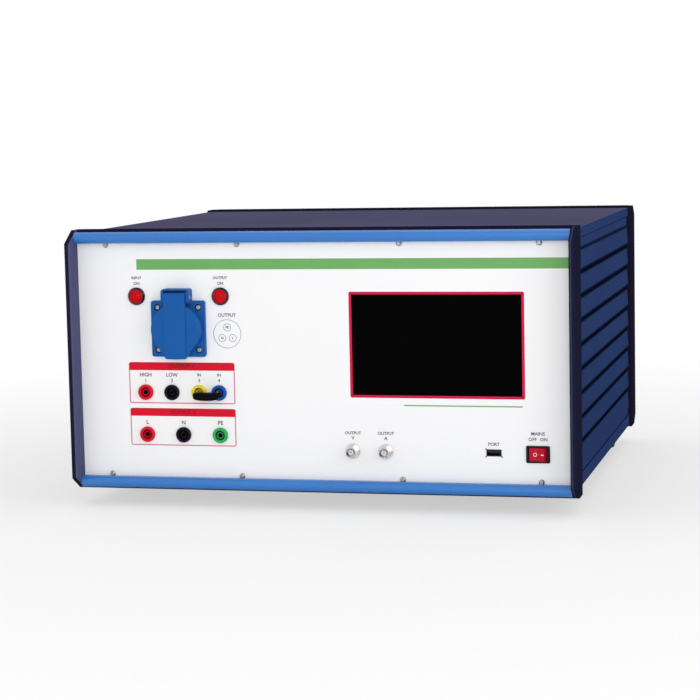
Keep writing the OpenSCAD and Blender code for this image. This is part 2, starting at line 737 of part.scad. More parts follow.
module black_sockets() color([0.07, 0.07, 0.10]) {
    at_panel() at_places(black_places) socket_housing();
    at_rear() translate([rear_socket_xs[1], 0, rear_socket_z]) rear_socket();
}
module yellow_socket() color([0.90, 0.83, 0.20]) at_panel() at_places(yellow_places) socket_housing();
module blue_socket() color([0.10, 0.33, 0.68]) at_panel() at_places(blue_places) socket_housing();
module green_sockets() color([0.20, 0.66, 0.36]) {
    at_panel() at_places(green_places) socket_housing();
    at_rear() translate([rear_socket_xs[2], 0, rear_socket_z]) rear_socket();
}
module socket_tube() difference() {
    spun_y([
        [0, tube_front], [tube_r, tube_front], [tube_r, 26],
        [tube_bore - 0.4, 26], [tube_bore - 0.4, 31], [0, 31]
    ]);
    rod_y(tube_bore, tube_front - 1, 22);
}
module socket_tubes() color([0.78, 0.66, 0.38]) {
    at_panel() at_places(front_places) socket_tube();
    at_rear() for (x = rear_socket_xs)
        translate([x, 0, rear_socket_z]) rotate([0, 0, 180]) translate([0, -rear_t, 0]) socket_tube();
}

// Bridging plug: two bare pins, joined by a strap inside a moulded bar that hangs below their axis
plug_front = -12.6;
plug_back = -5;
plug_top = 1.3;
strap_y = -10.5;
strap_t = 1.5;
strap_low = -2.6;
strap_top = 0.4;
shank_r = 0.8;
pin_r = tube_bore - run;
plug_w = bridge_pitch + 6.4;
plug_h = 7.5;
// Front view of the bar: a flat top, blunt ends and an underside that curves down by sag to its middle
function bar_outline(top_r, end_r, sag) =
    let (
        end_x = plug_w / 2 - end_r, curve_r = (end_x * end_x + sag * sag) / (2 * sag),
        turn = asin(end_x / curve_r), low = plug_top - plug_h, end_z = low + end_r + sag
    )
    concat(
        arc(plug_w / 2 - top_r, plug_top - top_r, top_r, 0, 90, 5),
        arc(top_r - plug_w / 2, plug_top - top_r, top_r, 90, 180, 5),
        arc(-end_x, end_z, end_r, 180, 270 - turn, 6),
        arc(0, low + end_r + curve_r, end_r + curve_r, 270 - turn + 1, 270 + turn - 1, 8),
        arc(end_x, end_z, end_r, 270 + turn, 360, 6)
    );
module at_plug() at_panel() translate([bridge_x, 0, output_z]) children();
module at_plug_pins() for (side = [-1, 1]) translate([side * bridge_pitch / 2, 0, 0]) children();
module bridge_plug_body() color([0.05, 0.05, 0.07]) at_plug() {
    strap_x = bridge_pitch / 2 + 1.5;
    mid_y = (plug_front + plug_back) / 2;
    difference() {
        // The bar's three views, cut to each other
        intersection() {
            along_y(plug_front, plug_back) polygon(bar_outline(2.2, 3.6, 1.15));
            along_z(plug_top - plug_h - 1, plug_top + 1) translate([0, mid_y])
                polygon(rounded_points(plug_w, plug_back - plug_front, 2.4));
            along_x(-plug_w / 2 - 1, plug_w / 2 + 1) translate([mid_y, plug_top - plug_h / 2])
                polygon(rounded_points(plug_back - plug_front, plug_h, 1.6));
        }
        at_plug_pins() rod_y(shank_r + run, strap_y, plug_back + 1);
        block(
            [-strap_x - run, strap_y - run, strap_low - run],
            [strap_x + run, strap_y + strap_t + run, strap_top + run]
        );
    }
}
module bridge_plug_pins() color([0.80, 0.70, 0.42]) at_plug() {
    strap_x = bridge_pitch / 2 + 1.5;
    at_plug_pins() spun_y([
        [0, strap_y + 0.5], [shank_r, strap_y + 0.5], [shank_r, plug_back + run], [pin_r, plug_back + run],
        [pin_r, 8.2], [pin_r - 0.8, 9], [0, 9]
    ]);
    block([-strap_x, strap_y, strap_low], [strap_x, strap_y + strap_t, strap_top]);
}

// Touch window and the display module behind it
module touch_window() color([0.03, 0.03, 0.04]) at_panel() translate([window_x, 0, window_z])
    along_y(0.1, panel_t) square([window_w, window_h], center = true);
module display_module() color([0.45, 0.46, 0.48]) at_panel() translate([window_x, 0, window_z]) {
    frame_w = window_w + 12;
    frame_h = window_h + 10;
    frame_t = 7;
    difference() {
        block([-frame_w / 2, panel_t, -frame_h / 2], [frame_w / 2, panel_t + frame_t, frame_h / 2]);
        for (sx = [-1, 1], sz = [-1, 1])
            translate([sx * (frame_w / 2 - 3), 0, sz * (frame_h / 2 - 2.6)])
                rod_y(1.6, panel_t - 1, panel_t + frame_t + 1);
    }
    block([-60, panel_t + frame_t - 1, -35], [60, panel_t + frame_t + 3, 35]);
}

// BNC jacks
bnc_shank_r = 4.75;
bnc_barrel_r = 4.85;
bnc_tip = -11;
module bnc_jacks() color([0.80, 0.80, 0.80]) at_panel() for (x = bnc_xs) translate([x, 0, bnc_z]) {
    difference() {
        union() {
            spun_y([
                [0, bnc_tip], [4.5, bnc_tip], [bnc_barrel_r, bnc_tip + 0.5], [bnc_barrel_r, -2.2],
                [6.7, -2.2], [6.9, -1.8], [6.9, 0], [bnc_shank_r, 0], [bnc_shank_r, 13], [0, 13]
            ]);
            // Bayonet lugs
            translate([0, bnc_tip + 5, 0]) rod_x(1, -5.6, 5.6);
        }
        rod_y(4.05, bnc_tip - 1, -1.5);
        rod_y(2.6, -2, 14);
    }
    translate([0, panel_t, 0]) rotate([-90, 0, 0]) difference() {
        cylinder(r = 7.6, h = 2.5, $fn = 6);
        translate([0, 0, -1]) cylinder(r = bnc_shank_r - 0.2, h = 5);
    }
}
module bnc_cores() color([0.86, 0.86, 0.82]) at_panel() for (x = bnc_xs) translate([x, 0, bnc_z])
    difference() {
        spun_y([
            [0, bnc_tip + 1.6], [2.3, bnc_tip + 1.6], [2.55, bnc_tip + 2], [2.55, 13.5],
            [0.9, 13.5], [0.9, 17], [0, 17]
        ]);
        rod_y(0.6, bnc_tip + 1, -1);
    }

// USB-A port
usb_w = 13.1;
usb_h = 5.7;
usb_wall = 0.4;
module usb_shell() color([0.75, 0.75, 0.76]) at_panel() translate([usb_x, 0, usb_z]) {
    shell_end = 14;
    difference() {
        union() {
            block([-usb_w / 2, -0.6, -usb_h / 2], [usb_w / 2, shell_end, usb_h / 2]);
            // Mounting ears behind the panel
            block([-usb_w / 2 - 5, panel_t, -usb_h / 2], [usb_w / 2 + 5, panel_t + 1, usb_h / 2]);
        }
        block(
            [-usb_w / 2 + usb_wall, -2, -usb_h / 2 + usb_wall],
            [usb_w / 2 - usb_wall, shell_end - 1, usb_h / 2 - usb_wall]
        );
        for (side = [-1, 1]) translate([side * (usb_w / 2 + 2.5), 0, 0]) rod_y(1.2, panel_t - 1, panel_t + 2);
    }
}
module usb_tongue() color([0.88, 0.88, 0.86]) at_panel() translate([usb_x, 0, usb_z]) {
    base_x = usb_w / 2 - usb_wall - run;
    base_z = usb_h / 2 - usb_wall - run;
    block([-5.55, 0.8, 0.2], [5.55, 13, 2.05]);
    block([-base_x, 10.5, -base_z], [base_x, 13, base_z]);
}

// Rocker switch
switch_body_w = 18.8;
switch_body_h = 12.6;
rocker_r = 8.2;
rocker_h = 11.5;
rocker_pivot = 1.5;
rocker_throw = 22;
rocker_face = 3.2;
module at_switch() at_panel() translate([switch_x, 0, switch_z]) children();
module switch_housing() color([0.06, 0.06, 0.07]) at_switch() {
    bezel_w = 21.2;
    bezel_h = 15.3;
    body_end = 16;
    difference() {
        union() {
            along_y(-2, -0.8) polygon(rounded_points(bezel_w - 1, bezel_h - 1, 0.8, 3));
            along_y(-0.8, 0) polygon(rounded_points(bezel_w, bezel_h, 1.2, 3));
            block(
                [-switch_body_w / 2, -0.5, -switch_body_h / 2],
                [switch_body_w / 2, body_end, switch_body_h / 2]
            );
        }
        block([-rocker_r - fit, -3, -rocker_h / 2 - 0.2], [rocker_r + fit, 12, rocker_h / 2 + 0.2]);
    }
    // Pivot pin across the well
    translate([0, rocker_pivot, 0]) rod_z(1.2, -rocker_h / 2 - 0.6, rocker_h / 2 + 0.6);
    for (x = [-6, 0, 6]) block([x - 0.4, body_end - 0.5, -2.4], [x + 0.4, body_end + 8, 2.4]);
}
module switch_rocker() color([0.82, 0.06, 0.10]) at_switch() translate([0, rocker_pivot, 0]) {
    flank = 12;
    difference() {
        along_z(-rocker_h / 2, rocker_h / 2) intersection() {
            circle(rocker_r);
            polygon([
                [-flank, -rocker_face], [rocker_face * tan(-rocker_throw / 2), -rocker_face],
                [
                    flank * cos(rocker_throw) - rocker_face * sin(rocker_throw),
                    -rocker_face * cos(rocker_throw) - flank * sin(rocker_throw)
                ],
                [flank, 2.6], [-flank, 2.6]
            ]);
        }
        rod_z(1.2 + run, -rocker_h, rocker_h);
    }
}

// Rear fittings

inlet_w = 27;
inlet_h = 31;
inlet_pitch = 40;
inlet_recess_z = 6.2;
inlet_mouth = 4;
module at_inlet() at_rear() translate([inlet_x, 0, inlet_z]) children();
module inlet_body() color([0.07, 0.07, 0.08]) at_inlet() {
    back = -22;
    difference() {
        union() {
            along_y(rear_t, rear_t + 3) polygon(rounded_points(50, inlet_h + 4, 3));
            block([-inlet_w / 2, back, -inlet_h / 2], [inlet_w / 2, rear_t + 1, inlet_h / 2]);
            along_y(rear_t, rear_t + inlet_mouth) polygon(rounded_points(inlet_w + 1, inlet_h + 1, 2));
        }
        // Connector recess with its two cut lower corners
        along_y(back + 4, rear_t + inlet_mouth + 1) polygon([
            [-12.2, inlet_recess_z + 8.2], [12.2, inlet_recess_z + 8.2], [12.2, inlet_recess_z - 4.2],
            [8.2, inlet_recess_z - 8.2], [-8.2, inlet_recess_z - 8.2], [-12.2, inlet_recess_z - 4.2]
        ]);
        // Bay of the fuse drawer
        block([-drawer_w / 2 - 0.2, back + 2, drawer_z - drawer_h / 2 - 0.2],
              [drawer_w / 2 + 0.2, rear_t + inlet_mouth + 1, drawer_z + drawer_h / 2 + 0.2]);
        for (side = [-1, 1]) translate([side * inlet_pitch / 2, 0, 0]) rod_y(1.7, rear_t - 1, rear_t + 4);
        at_inlet_pins() block([-0.4 - run, back - 1, -2.4 - run], [0.4 + run, back + 5, 2.4 + run]);
    }
}
module at_inlet_pins() for (pin = [[-7, -2], [0, 2], [7, -2]])
    translate([pin[0], 0, inlet_recess_z + pin[1]]) children();
module inlet_pins() color([0.74, 0.74, 0.72]) at_inlet() at_inlet_pins() {
    block([-1, -18, -2], [1, rear_t + 1, 2]);
    block([-0.4, -30, -2.4], [0.4, -17, 2.4]);
}
drawer_w = 22;
drawer_h = 8.2;
drawer_z = -9;
module fuse_drawer() color([0.09, 0.09, 0.10]) at_inlet() {
    inner_end = -15;
    difference() {
        block(
            [-drawer_w / 2, inner_end, drawer_z - drawer_h / 2],
            [drawer_w / 2, rear_t + inlet_mouth + 0.8, drawer_z + drawer_h / 2]
        );
        // Two fuse cradles, open at the top, and the finger notch
        for (x = [-5.4, 5.4])
            block([x - 3, inner_end + 1.5, drawer_z - 2.6], [x + 3, inner_end + 16, drawer_z + drawer_h]);
        block(
            [-4, rear_t + inlet_mouth - 0.4, drawer_z - drawer_h / 2 - 1],
            [4, rear_t + inlet_mouth + 2, drawer_z - drawer_h / 2 + 1.6]
        );
    }
    // The fuses ride in the drawer, each bedded in its cradle
    for (x = [-5.4, 5.4]) translate([x, 0, drawer_z - 0.4]) rod_y(2.55, inner_end + 1, inner_end + 16.5);
}

fan_t = 25.4;
fan_pitch = fan_w - 9.5;
fan_hub_r = 19;
fan_blade_r = fan_w / 2 - 3.6;
fan_shaft_r = 2;
module at_fan() at_rear() translate([fan_x, 0, fan_z]) children();
module at_fan_screws() for (sx = [-1, 1], sz = [-1, 1])
    translate([sx * fan_pitch / 2, 0, sz * fan_pitch / 2]) children();
module fan_frame() color([0.08, 0.08, 0.09]) at_fan() {
    difference() {
        union() {
            along_y(-4, 0) polygon(rounded_points(fan_w, fan_w, 5, 3));
            along_y(-fan_t, 4 - fan_t) polygon(rounded_points(fan_w, fan_w, 5, 3));
            rod_y(fan_w / 2 - 0.4, -fan_t, 0);
        }
        rod_y(fan_blade_r + 1, -fan_t - 1, 1);
        at_fan_screws() rod_y(2.2, -fan_t - 1, 1);
    }
    // Motor mount and its three struts on the inner side
    rod_y(fan_hub_r - 1, -fan_t, 3.5 - fan_t);
    for (turn = [90, 210, 330]) rotate([0, turn, 0])
        block([0, -fan_t, -2], [fan_blade_r + 2, 3 - fan_t, 2]);
    rod_y(fan_shaft_r, -fan_t + 1, -fan_t + 14);
}
module fan_rotor() color([0.10, 0.10, 0.11]) at_fan() {
    blades = 7;
    pitch_angle = 38;
    blade_w = 24;
    blade_y = -11.5;
    difference() {
        union() {
            rod_y(fan_hub_r, 4 - fan_t, -2);
            for (i = [0:blades - 1]) rotate([0, i * 360 / blades, 0]) intersection() {
                translate([0, blade_y, 0]) rotate([pitch_angle, 0, 0])
                    block([fan_hub_r - 2, -0.8, -blade_w / 2], [fan_blade_r + 2, 0.8, blade_w / 2]);
                rod_y(fan_blade_r, 4 - fan_t, -2);
            }
        }
        rod_y(fan_shaft_r + run, -fan_t, 14.5 - fan_t);
    }
}
module fan_guard() color([0.80, 0.80, 0.82]) at_fan() {
    wire_r = 0.9;
    ring_y = rear_t + 3.4;
    for (r = [12:10:fan_blade_r])
        translate([0, ring_y, 0]) rotate([-90, 0, 0])
            rotate_extrude() translate([r, 0]) circle(wire_r, $fn = 16);
    for (turn = [45, 135]) rotate([0, turn, 0])
        translate([0, ring_y - 1.2, 0]) rod_x(wire_r, -fan_pitch * 0.7, fan_pitch * 0.7);
    at_fan_screws() difference() {
        rod_y(4.6, rear_t, rear_t + 1.6);
        rod_y(2.2, rear_t - 1, rear_t + 3);
    }
}
module earth_terminal() color([0.78, 0.68, 0.40]) at_rear() translate([earth_x, 0, earth_z]) {
    rod_y(stud_r, -8, rear_t + 13.5);
    translate([0, rear_t, 0]) rotate([-90, 0, 0]) cylinder(r = 5.8, h = 4.5, $fn = 6);
    translate([0, -4.5, 0]) rotate([-90, 0, 0]) cylinder(r = 5.8, h = 4.5, $fn = 6);
}

// Inside

module chassis_plate() color([0.70, 0.71, 0.72]) at_panel()
    block(
        [-(body_x - side_t - fit - 3 - fit), beam_y + 8, chassis_z],
        [body_x - side_t - fit - 3 - fit, rear_y - 2, deck_z]
    );

module high_voltage_supply() color([0.62, 0.63, 0.65]) at_panel() {
    translate([-60, 120, deck_z]) difference() {
        block([0, 0, 0], [110, 150, 80]);
        for (i = [0:6]) block([-1, 20 + i * 16, 20], [3, 28 + i * 16, 60]);
    }
    // High-voltage output bushing
    translate([-20, 150, deck_z + 79]) rotate_extrude() polygon([
        [0, 0], [12, 0], [12, 6], [7, 8], [10, 12], [6.5, 14], [9, 18], [6, 20], [8, 24], [5, 26], [0, 26]
    ]);
}
module storage_capacitors() color([0.66, 0.67, 0.70]) at_panel() for (i = [0:1])
    translate([-175 + i * 76, 90, deck_z]) {
        rotate_extrude() polygon([[0, 0], [32, 0], [33, 1.5], [33, 118], [31, 120], [0, 120]]);
        for (side = [-1, 1]) translate([side * 14, 0, 119]) {
            rod_z(5, 0, 7);
            rod_z(2.5, 0, 16);
        }
    }
board_z = deck_z + 12;
module circuit_boards() color([0.10, 0.35, 0.20]) at_panel() {
    board_t = 1.6;
    // Pulse-shaping board, on standoffs
    block([-215, 150, board_z], [-70, 290, board_z + board_t]);
    for (x = [-210, -75], y = [155, 285]) translate([x, y, 0]) rod_z(3, deck_z, board_z);
    // Coupling board
    block([-215, 300, board_z], [-70, 390, board_z + board_t]);
    for (x = [-210, -75], y = [305, 385]) translate([x, y, 0]) rod_z(3, deck_z, board_z);
    // Control board, upright behind the display
    block([window_x - 75, 40, deck_z + 10], [window_x + 75, 40 + board_t, deck_z + 110]);
    for (x = [-60, 60]) translate([window_x + x, 0, 0]) {
        block([-5, 35, deck_z], [5, 40, deck_z + 30]);
        block([-5, 30, deck_z], [5, 55, deck_z + 1.5]);
    }
    for (x = [-50, -20, 15, 45]) block([window_x + x, 41, deck_z + 45], [window_x + x + 22, 45, deck_z + 67]);
}
module shaping_parts() color([0.70, 0.38, 0.20]) at_panel() {
    // Air-cored shaping coil on its former
    translate([-175, 195, board_z + 1.6]) rotate_extrude() polygon(concat(
        [[13, 0], [27, 0], [27, 3]],
        [for (i = [0:11], p = [0:1]) [p == 0 ? 24 : 25.5, 4 + i * 3 + p * 1.5]],
        [[27, 40], [27, 43], [13, 43]]
    ));
    // Tubular resistors on clips
    for (i = [0:3]) translate([-135 + i * 17, 165, board_z + 1.6 + 11]) {
        rod_y(6.5, 0, 70);
        for (y = [-2.5, 68.5]) translate([0, y, 0]) {
            rod_y(8, 0, 4);
            block([-3, 0, -11], [3, 4, 0]);
        }
    }
}
module relays() color([0.16, 0.17, 0.20]) at_panel() {
    for (i = [0:2]) translate([-205 + i * 40, 248, board_z + 1.6]) {
        block([0, 0, 0], [30, 34, 38]);
        translate([15, 17, 37]) rod_z(6, 0, 10);
    }
    for (i = [0:3]) translate([-208 + i * 34, 306, board_z + 1.6]) block([0, 0, 0], [28, 30, 25]);
}
module decoupling_inductors() color([0.62, 0.35, 0.18]) at_panel() for (i = [0:1])
    translate([i * 96, 345, deck_z])
        rotate_extrude() translate([29, 23]) polygon(rounded_points(26, 46, 6));
module coupling_capacitors() color([0.20, 0.42, 0.62]) at_panel() for (i = [0:2])
    translate([-206 + i * 44, 344, board_z + 1.6]) block([0, 0, 0], [38, 36, 44]);
module power_supply() color([0.72, 0.73, 0.75]) at_panel() translate([75, 120, deck_z]) {
    supply_w = 98;
    supply_l = 159;
    supply_h = 38;
    difference() {
        block([0, 0, 0], [supply_w, supply_l, supply_h]);
        // Perforated lid
        for (i = [0:8], j = [0:4])
            translate([15 + j * 17, 22 + i * 14, 0]) rod_z(3.2, supply_h - 1.5, supply_h + 1);
        block([6, -1, 12], [supply_w - 6, 14, supply_h + 1]);
    }
}
module mains_filter() color([0.75, 0.76, 0.78]) at_panel() translate([inlet_x - 40, 300, deck_z]) {
    block([26, 0, 0], [74, 84, 32]);
    block([18, 10, 0], [82, 30, 1.5]);
    for (x = [38, 50, 62], y = [-6, 84]) block([x - 0.4, y, 14], [x + 0.4, y + 6.1, 20]);
}

front_panel();
front_panel_screws();
front_post_left();
front_post_right();
front_beam_top();
front_beam_bottom();
trim_top();
trim_bottom();
corner_rails();
side_panel_left();
side_panel_right();
top_cover();
bottom_cover();
rear_post_left();
rear_post_right();
rear_beams();
rear_panel();
case_screws();
feet();
outlet_body();
outlet_lid();
outlet_hinge_pin();
outlet_spring();
outlet_contacts();
outlet_screws();
lamp_bezels();
lamp_lenses();
red_sockets();
black_sockets();
yellow_socket();
blue_socket();
green_sockets();
socket_tubes();
bridge_plug_body();
bridge_plug_pins();
touch_window();
display_module();
bnc_jacks();
bnc_cores();
usb_shell();
usb_tongue();
switch_housing();
switch_rocker();
inlet_body();
inlet_pins();
fuse_drawer();
fan_frame();
fan_rotor();
fan_guard();
earth_terminal();
chassis_plate();
high_voltage_supply();
storage_capacitors();
shaping_parts();
relays();
decoupling_inductors();
coupling_capacitors();
power_supply();
mains_filter();
circuit_boards();
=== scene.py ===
# %% [markdown]
# # A ring wave generator in its studio
#
# The object is a bench instrument in an aluminium desktop case. The engineering model already
# holds every rigid piece at its true size, so this lesson does three things: it gives each piece
# a finish, it adds what is printed on the front panel, and it sets up the camera and the light.

import math

import bmesh
import bpy
from mathutils import Matrix, Vector


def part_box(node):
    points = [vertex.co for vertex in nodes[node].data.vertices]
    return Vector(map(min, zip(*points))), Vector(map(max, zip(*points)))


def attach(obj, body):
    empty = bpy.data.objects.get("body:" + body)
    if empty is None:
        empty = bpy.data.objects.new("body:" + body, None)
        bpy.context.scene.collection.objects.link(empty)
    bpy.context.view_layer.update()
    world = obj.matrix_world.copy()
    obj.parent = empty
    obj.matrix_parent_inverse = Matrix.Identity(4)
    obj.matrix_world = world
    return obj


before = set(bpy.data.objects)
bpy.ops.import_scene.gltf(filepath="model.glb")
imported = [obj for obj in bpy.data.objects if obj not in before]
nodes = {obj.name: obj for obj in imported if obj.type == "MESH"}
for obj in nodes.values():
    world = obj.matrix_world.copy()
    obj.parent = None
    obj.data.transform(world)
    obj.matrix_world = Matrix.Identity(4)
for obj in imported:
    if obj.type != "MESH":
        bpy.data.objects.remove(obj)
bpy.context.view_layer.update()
print("nodes", len(nodes))

# %% [markdown]
# ## Where things are
#
# Everything on the front is placed in panel coordinates: millimetres from the bottom centre of
# the part of the white panel that shows, with X to the right, Y towards the rear and Z up. One
# function turns them into metres in the model's own frame.

# %% Panel coordinates
PANEL_Y = -0.214
PANEL_Z = 0.0275


def at_panel(x, y, z):
    return Vector((x / 1000, y / 1000 + PANEL_Y, z / 1000 + PANEL_Z))


print("panel origin", at_panel(0, 0, 0))

# %% [markdown]
# ## The camera
#
# The camera stands where the photographer stood: 1.9 metres from the panel, to the right of the
# object and a little above it. Its place and lens come from a fit of the case's corners with no
# lens shift. The camera also leans by about a degree.

# %% Camera
YAW = math.radians(14.03)
PITCH = math.radians(6.28)
ROLL = math.radians(-1.20)
FOCAL_PIXELS = 2116.3
FRAME_PIXELS = 700
SENSOR_MM = 36
FARTHEST = 50
CAMERA_PLACE = at_panel(484.45, -1825.21, 324.53)

look = Vector((-math.sin(YAW) * math.cos(PITCH), math.cos(YAW) * math.cos(PITCH), -math.sin(PITCH)))
level_right = Vector((math.cos(YAW), math.sin(YAW), 0))
level_up = level_right.cross(look)
right = math.cos(ROLL) * level_right + math.sin(ROLL) * level_up
up = -math.sin(ROLL) * level_right + math.cos(ROLL) * level_up

camera_data = bpy.data.cameras.new("camera")
camera_data.sensor_width = SENSOR_MM
camera_data.lens = FOCAL_PIXELS / FRAME_PIXELS * SENSOR_MM
camera_data.clip_end = FARTHEST
camera = bpy.data.objects.new("camera", camera_data)
turn = Matrix((right, up, -look)).transposed().to_4x4()
camera.matrix_world = Matrix.Translation(CAMERA_PLACE) @ turn
bpy.context.scene.collection.objects.link(camera)
bpy.context.scene.camera = camera
print("lens", round(camera_data.lens, 2))

# %% [markdown]
# ## Node helpers
#
# Each finish is a Principled shader whose colour and roughness change a little over the surface.
# What several finishes share is a node group, so that it is wired once. Four helpers keep this
# short: one adds a node with its values, one links pairs of sockets, one makes a group with its
# sockets, and one turns a colour as a screen shows it into the linear one that a shader takes.


# %% Node helpers
def add_node(tree, kind, values=None, **settings):
    node = tree.nodes.new(kind)
    for key, value in settings.items():
        setattr(node, key, value)
    for key, value in (values or {}).items():
        node.inputs[key].default_value = value
    return node


def link_all(tree, pairs):
    for source, target in pairs:
        tree.links.new(source, target)


def new_group(name, inputs, outputs):
    """A node group with inputs of (socket, kind, value) and outputs of (socket, kind)."""
    group = bpy.data.node_groups.new(name, "ShaderNodeTree")
    for socket, kind, value in inputs:
        made = group.interface.new_socket(name=socket, in_out="INPUT", socket_type="NodeSocket" + kind)
        made.default_value = value
    for socket, kind in outputs:
        group.interface.new_socket(name=socket, in_out="OUTPUT", socket_type="NodeSocket" + kind)
    return group


def linear(red, green, blue):
    """A colour as a screen shows it, from 0 to 255, as the linear colour that a shader takes."""
    def curve(level):
        share = level / 255
        return share / 12.92 if share <= 0.04045 else ((share + 0.055) / 1.055) ** 2.4

    return (curve(red), curve(green), curve(blue), 1.0)


# %% [markdown]
# ## A coat of paint or a moulded skin, as one shared group
#
# Powder coat, anodised aluminium and moulded plastic look alike to a node tree: a colour with a
# slow drift across the piece, and a fine grain that scatters light. One group makes all three,
# and each material chooses the two colours, the size of the drift and the size of the grain.

# %% Group: grained coat
coat = new_group("grained_coat", (
    ("Colour", "Color", (0.5, 0.5, 0.5, 1)),
    ("Shade", "Color", (0.4, 0.4, 0.4, 1)),
    ("Drift Scale", "Float", 8.0),
    ("Grain Scale", "Float", 900.0),
    ("Speckle", "Float", 0.3),
    ("Roughness Low", "Float", 0.4),
    ("Roughness High", "Float", 0.6),
), (("Colour", "Color"), ("Roughness", "Float"), ("Height", "Float")))

given = add_node(coat, "NodeGroupInput")
result = add_node(coat, "NodeGroupOutput")
place = add_node(coat, "ShaderNodeTexCoord")
drift = add_node(coat, "ShaderNodeTexNoise", {"Detail": 3.0, "Roughness": 0.5})
grain = add_node(coat, "ShaderNodeTexNoise", {"Detail": 2.0, "Roughness": 0.6})
weigh = add_node(coat, "ShaderNodeMath", operation="MULTIPLY")
total = add_node(coat, "ShaderNodeMath", operation="ADD", use_clamp=True)
tint = add_node(coat, "ShaderNodeMix", data_type="RGBA")
gloss = add_node(coat, "ShaderNodeMapRange")
link_all(coat, (
    (place.outputs["Object"], drift.inputs["Vector"]),
    (place.outputs["Object"], grain.inputs["Vector"]),
    (given.outputs["Drift Scale"], drift.inputs["Scale"]),
    (given.outputs["Grain Scale"], grain.inputs["Scale"]),
    (grain.outputs["Fac"], weigh.inputs[0]),
    (given.outputs["Speckle"], weigh.inputs[1]),
    (drift.outputs["Fac"], total.inputs[0]),
    (weigh.outputs["Value"], total.inputs[1]),
    (total.outputs["Value"], tint.inputs["Factor"]),
    (given.outputs["Colour"], tint.inputs["A"]),
    (given.outputs["Shade"], tint.inputs["B"]),
    (grain.outputs["Fac"], gloss.inputs["Value"]),
    (given.outputs["Roughness Low"], gloss.inputs["To Min"]),
    (given.outputs["Roughness High"], gloss.inputs["To Max"]),
    (tint.outputs["Result"], result.inputs["Colour"]),
    (gloss.outputs["Result"], result.inputs["Roughness"]),
    (grain.outputs["Fac"], result.inputs["Height"]),
))
print("group", coat.name, len(coat.nodes), "nodes")

# %% [markdown]
# ## Two zones on one piece
#
# Some pieces wear two colours: the covers are grey above and blue on their side flanges. Others get
# painted light and shade: each front post has a paler line of painted light, and a slat has painted
# shade where it meets its groove. This group mixes in a second colour by distance from a plane,
# which may repeat at an even pitch along the axis, above a lowest height.

# %% Group: zone colour
zone = new_group("zone_colour", (
    ("Colour", "Color", (0.5, 0.5, 0.5, 1)),
    ("Zone Colour", "Color", (0.4, 0.4, 0.4, 1)),
    ("Axis", "Vector", (1.0, 0.0, 0.0)),
    ("Centre", "Float", 0.0),
    ("Pitch", "Float", 100.0),
    ("Clear", "Float", 0.1),
    ("Full", "Float", 0.05),
    ("Above", "Float", -100.0),
), (("Colour", "Color"),))

given = add_node(zone, "NodeGroupInput")
result = add_node(zone, "NodeGroupOutput")
place = add_node(zone, "ShaderNodeTexCoord")
along = add_node(zone, "ShaderNodeVectorMath", operation="DOT_PRODUCT")
offset = add_node(zone, "ShaderNodeMath", operation="SUBTRACT")
half = add_node(zone, "ShaderNodeMath", {1: 0.5}, operation="MULTIPLY")
low = add_node(zone, "ShaderNodeMath", {1: -0.5}, operation="MULTIPLY")
nearest = add_node(zone, "ShaderNodeMath", operation="WRAP")
distance = add_node(zone, "ShaderNodeMath", operation="ABSOLUTE")
mask = add_node(zone, "ShaderNodeMapRange", interpolation_type="SMOOTHSTEP")
allowed = add_node(zone, "ShaderNodeMath", operation="GREATER_THAN")
share = add_node(zone, "ShaderNodeMath", operation="MULTIPLY")
mix = add_node(zone, "ShaderNodeMix", data_type="RGBA")
link_all(zone, (
    (place.outputs["Object"], along.inputs[0]),
    (given.outputs["Axis"], along.inputs[1]),
    (along.outputs["Value"], offset.inputs[0]),
    (given.outputs["Centre"], offset.inputs[1]),
    (given.outputs["Pitch"], half.inputs[0]),
    (given.outputs["Pitch"], low.inputs[0]),
    (offset.outputs["Value"], nearest.inputs[0]),
    (half.outputs["Value"], nearest.inputs[1]),
    (low.outputs["Value"], nearest.inputs[2]),
    (nearest.outputs["Value"], distance.inputs[0]),
    (distance.outputs["Value"], mask.inputs["Value"]),
    (given.outputs["Clear"], mask.inputs["From Min"]),
    (given.outputs["Full"], mask.inputs["From Max"]),
    (along.outputs["Value"], allowed.inputs[0]),
    (given.outputs["Above"], allowed.inputs[1]),
    (mask.outputs["Result"], share.inputs[0]),
    (allowed.outputs["Value"], share.inputs[1]),
    (share.outputs["Value"], mix.inputs["Factor"]),
    (given.outputs["Colour"], mix.inputs["A"]),
    (given.outputs["Zone Colour"], mix.inputs["B"]),
    (mix.outputs["Result"], result.inputs["Colour"]),
))
print("group", zone.name, len(zone.nodes), "nodes")

# %% [markdown]
# ## Brushed and turned metal
#
# Screws, jacks and wires are bare metal. What tells them from paint is their fine scratches. Where
# those run one way, the noise is stretched along an axis before it drives colour, roughness and
# bump.

# %% Group: drawn metal
drawn = new_group("drawn_metal", (
    ("Colour", "Color", (0.7, 0.7, 0.7, 1)),
    ("Shade", "Color", (0.5, 0.5, 0.5, 1)),
    ("Stretch", "Vector", (1.0, 1.0, 1.0)),
    ("Scratch Scale", "Float", 1500.0),
    ("Roughness Low", "Float", 0.2),
    ("Roughness High", "Float", 0.45),
), (("Colour", "Color"), ("Roughness", "Float"), ("Height", "Float")))

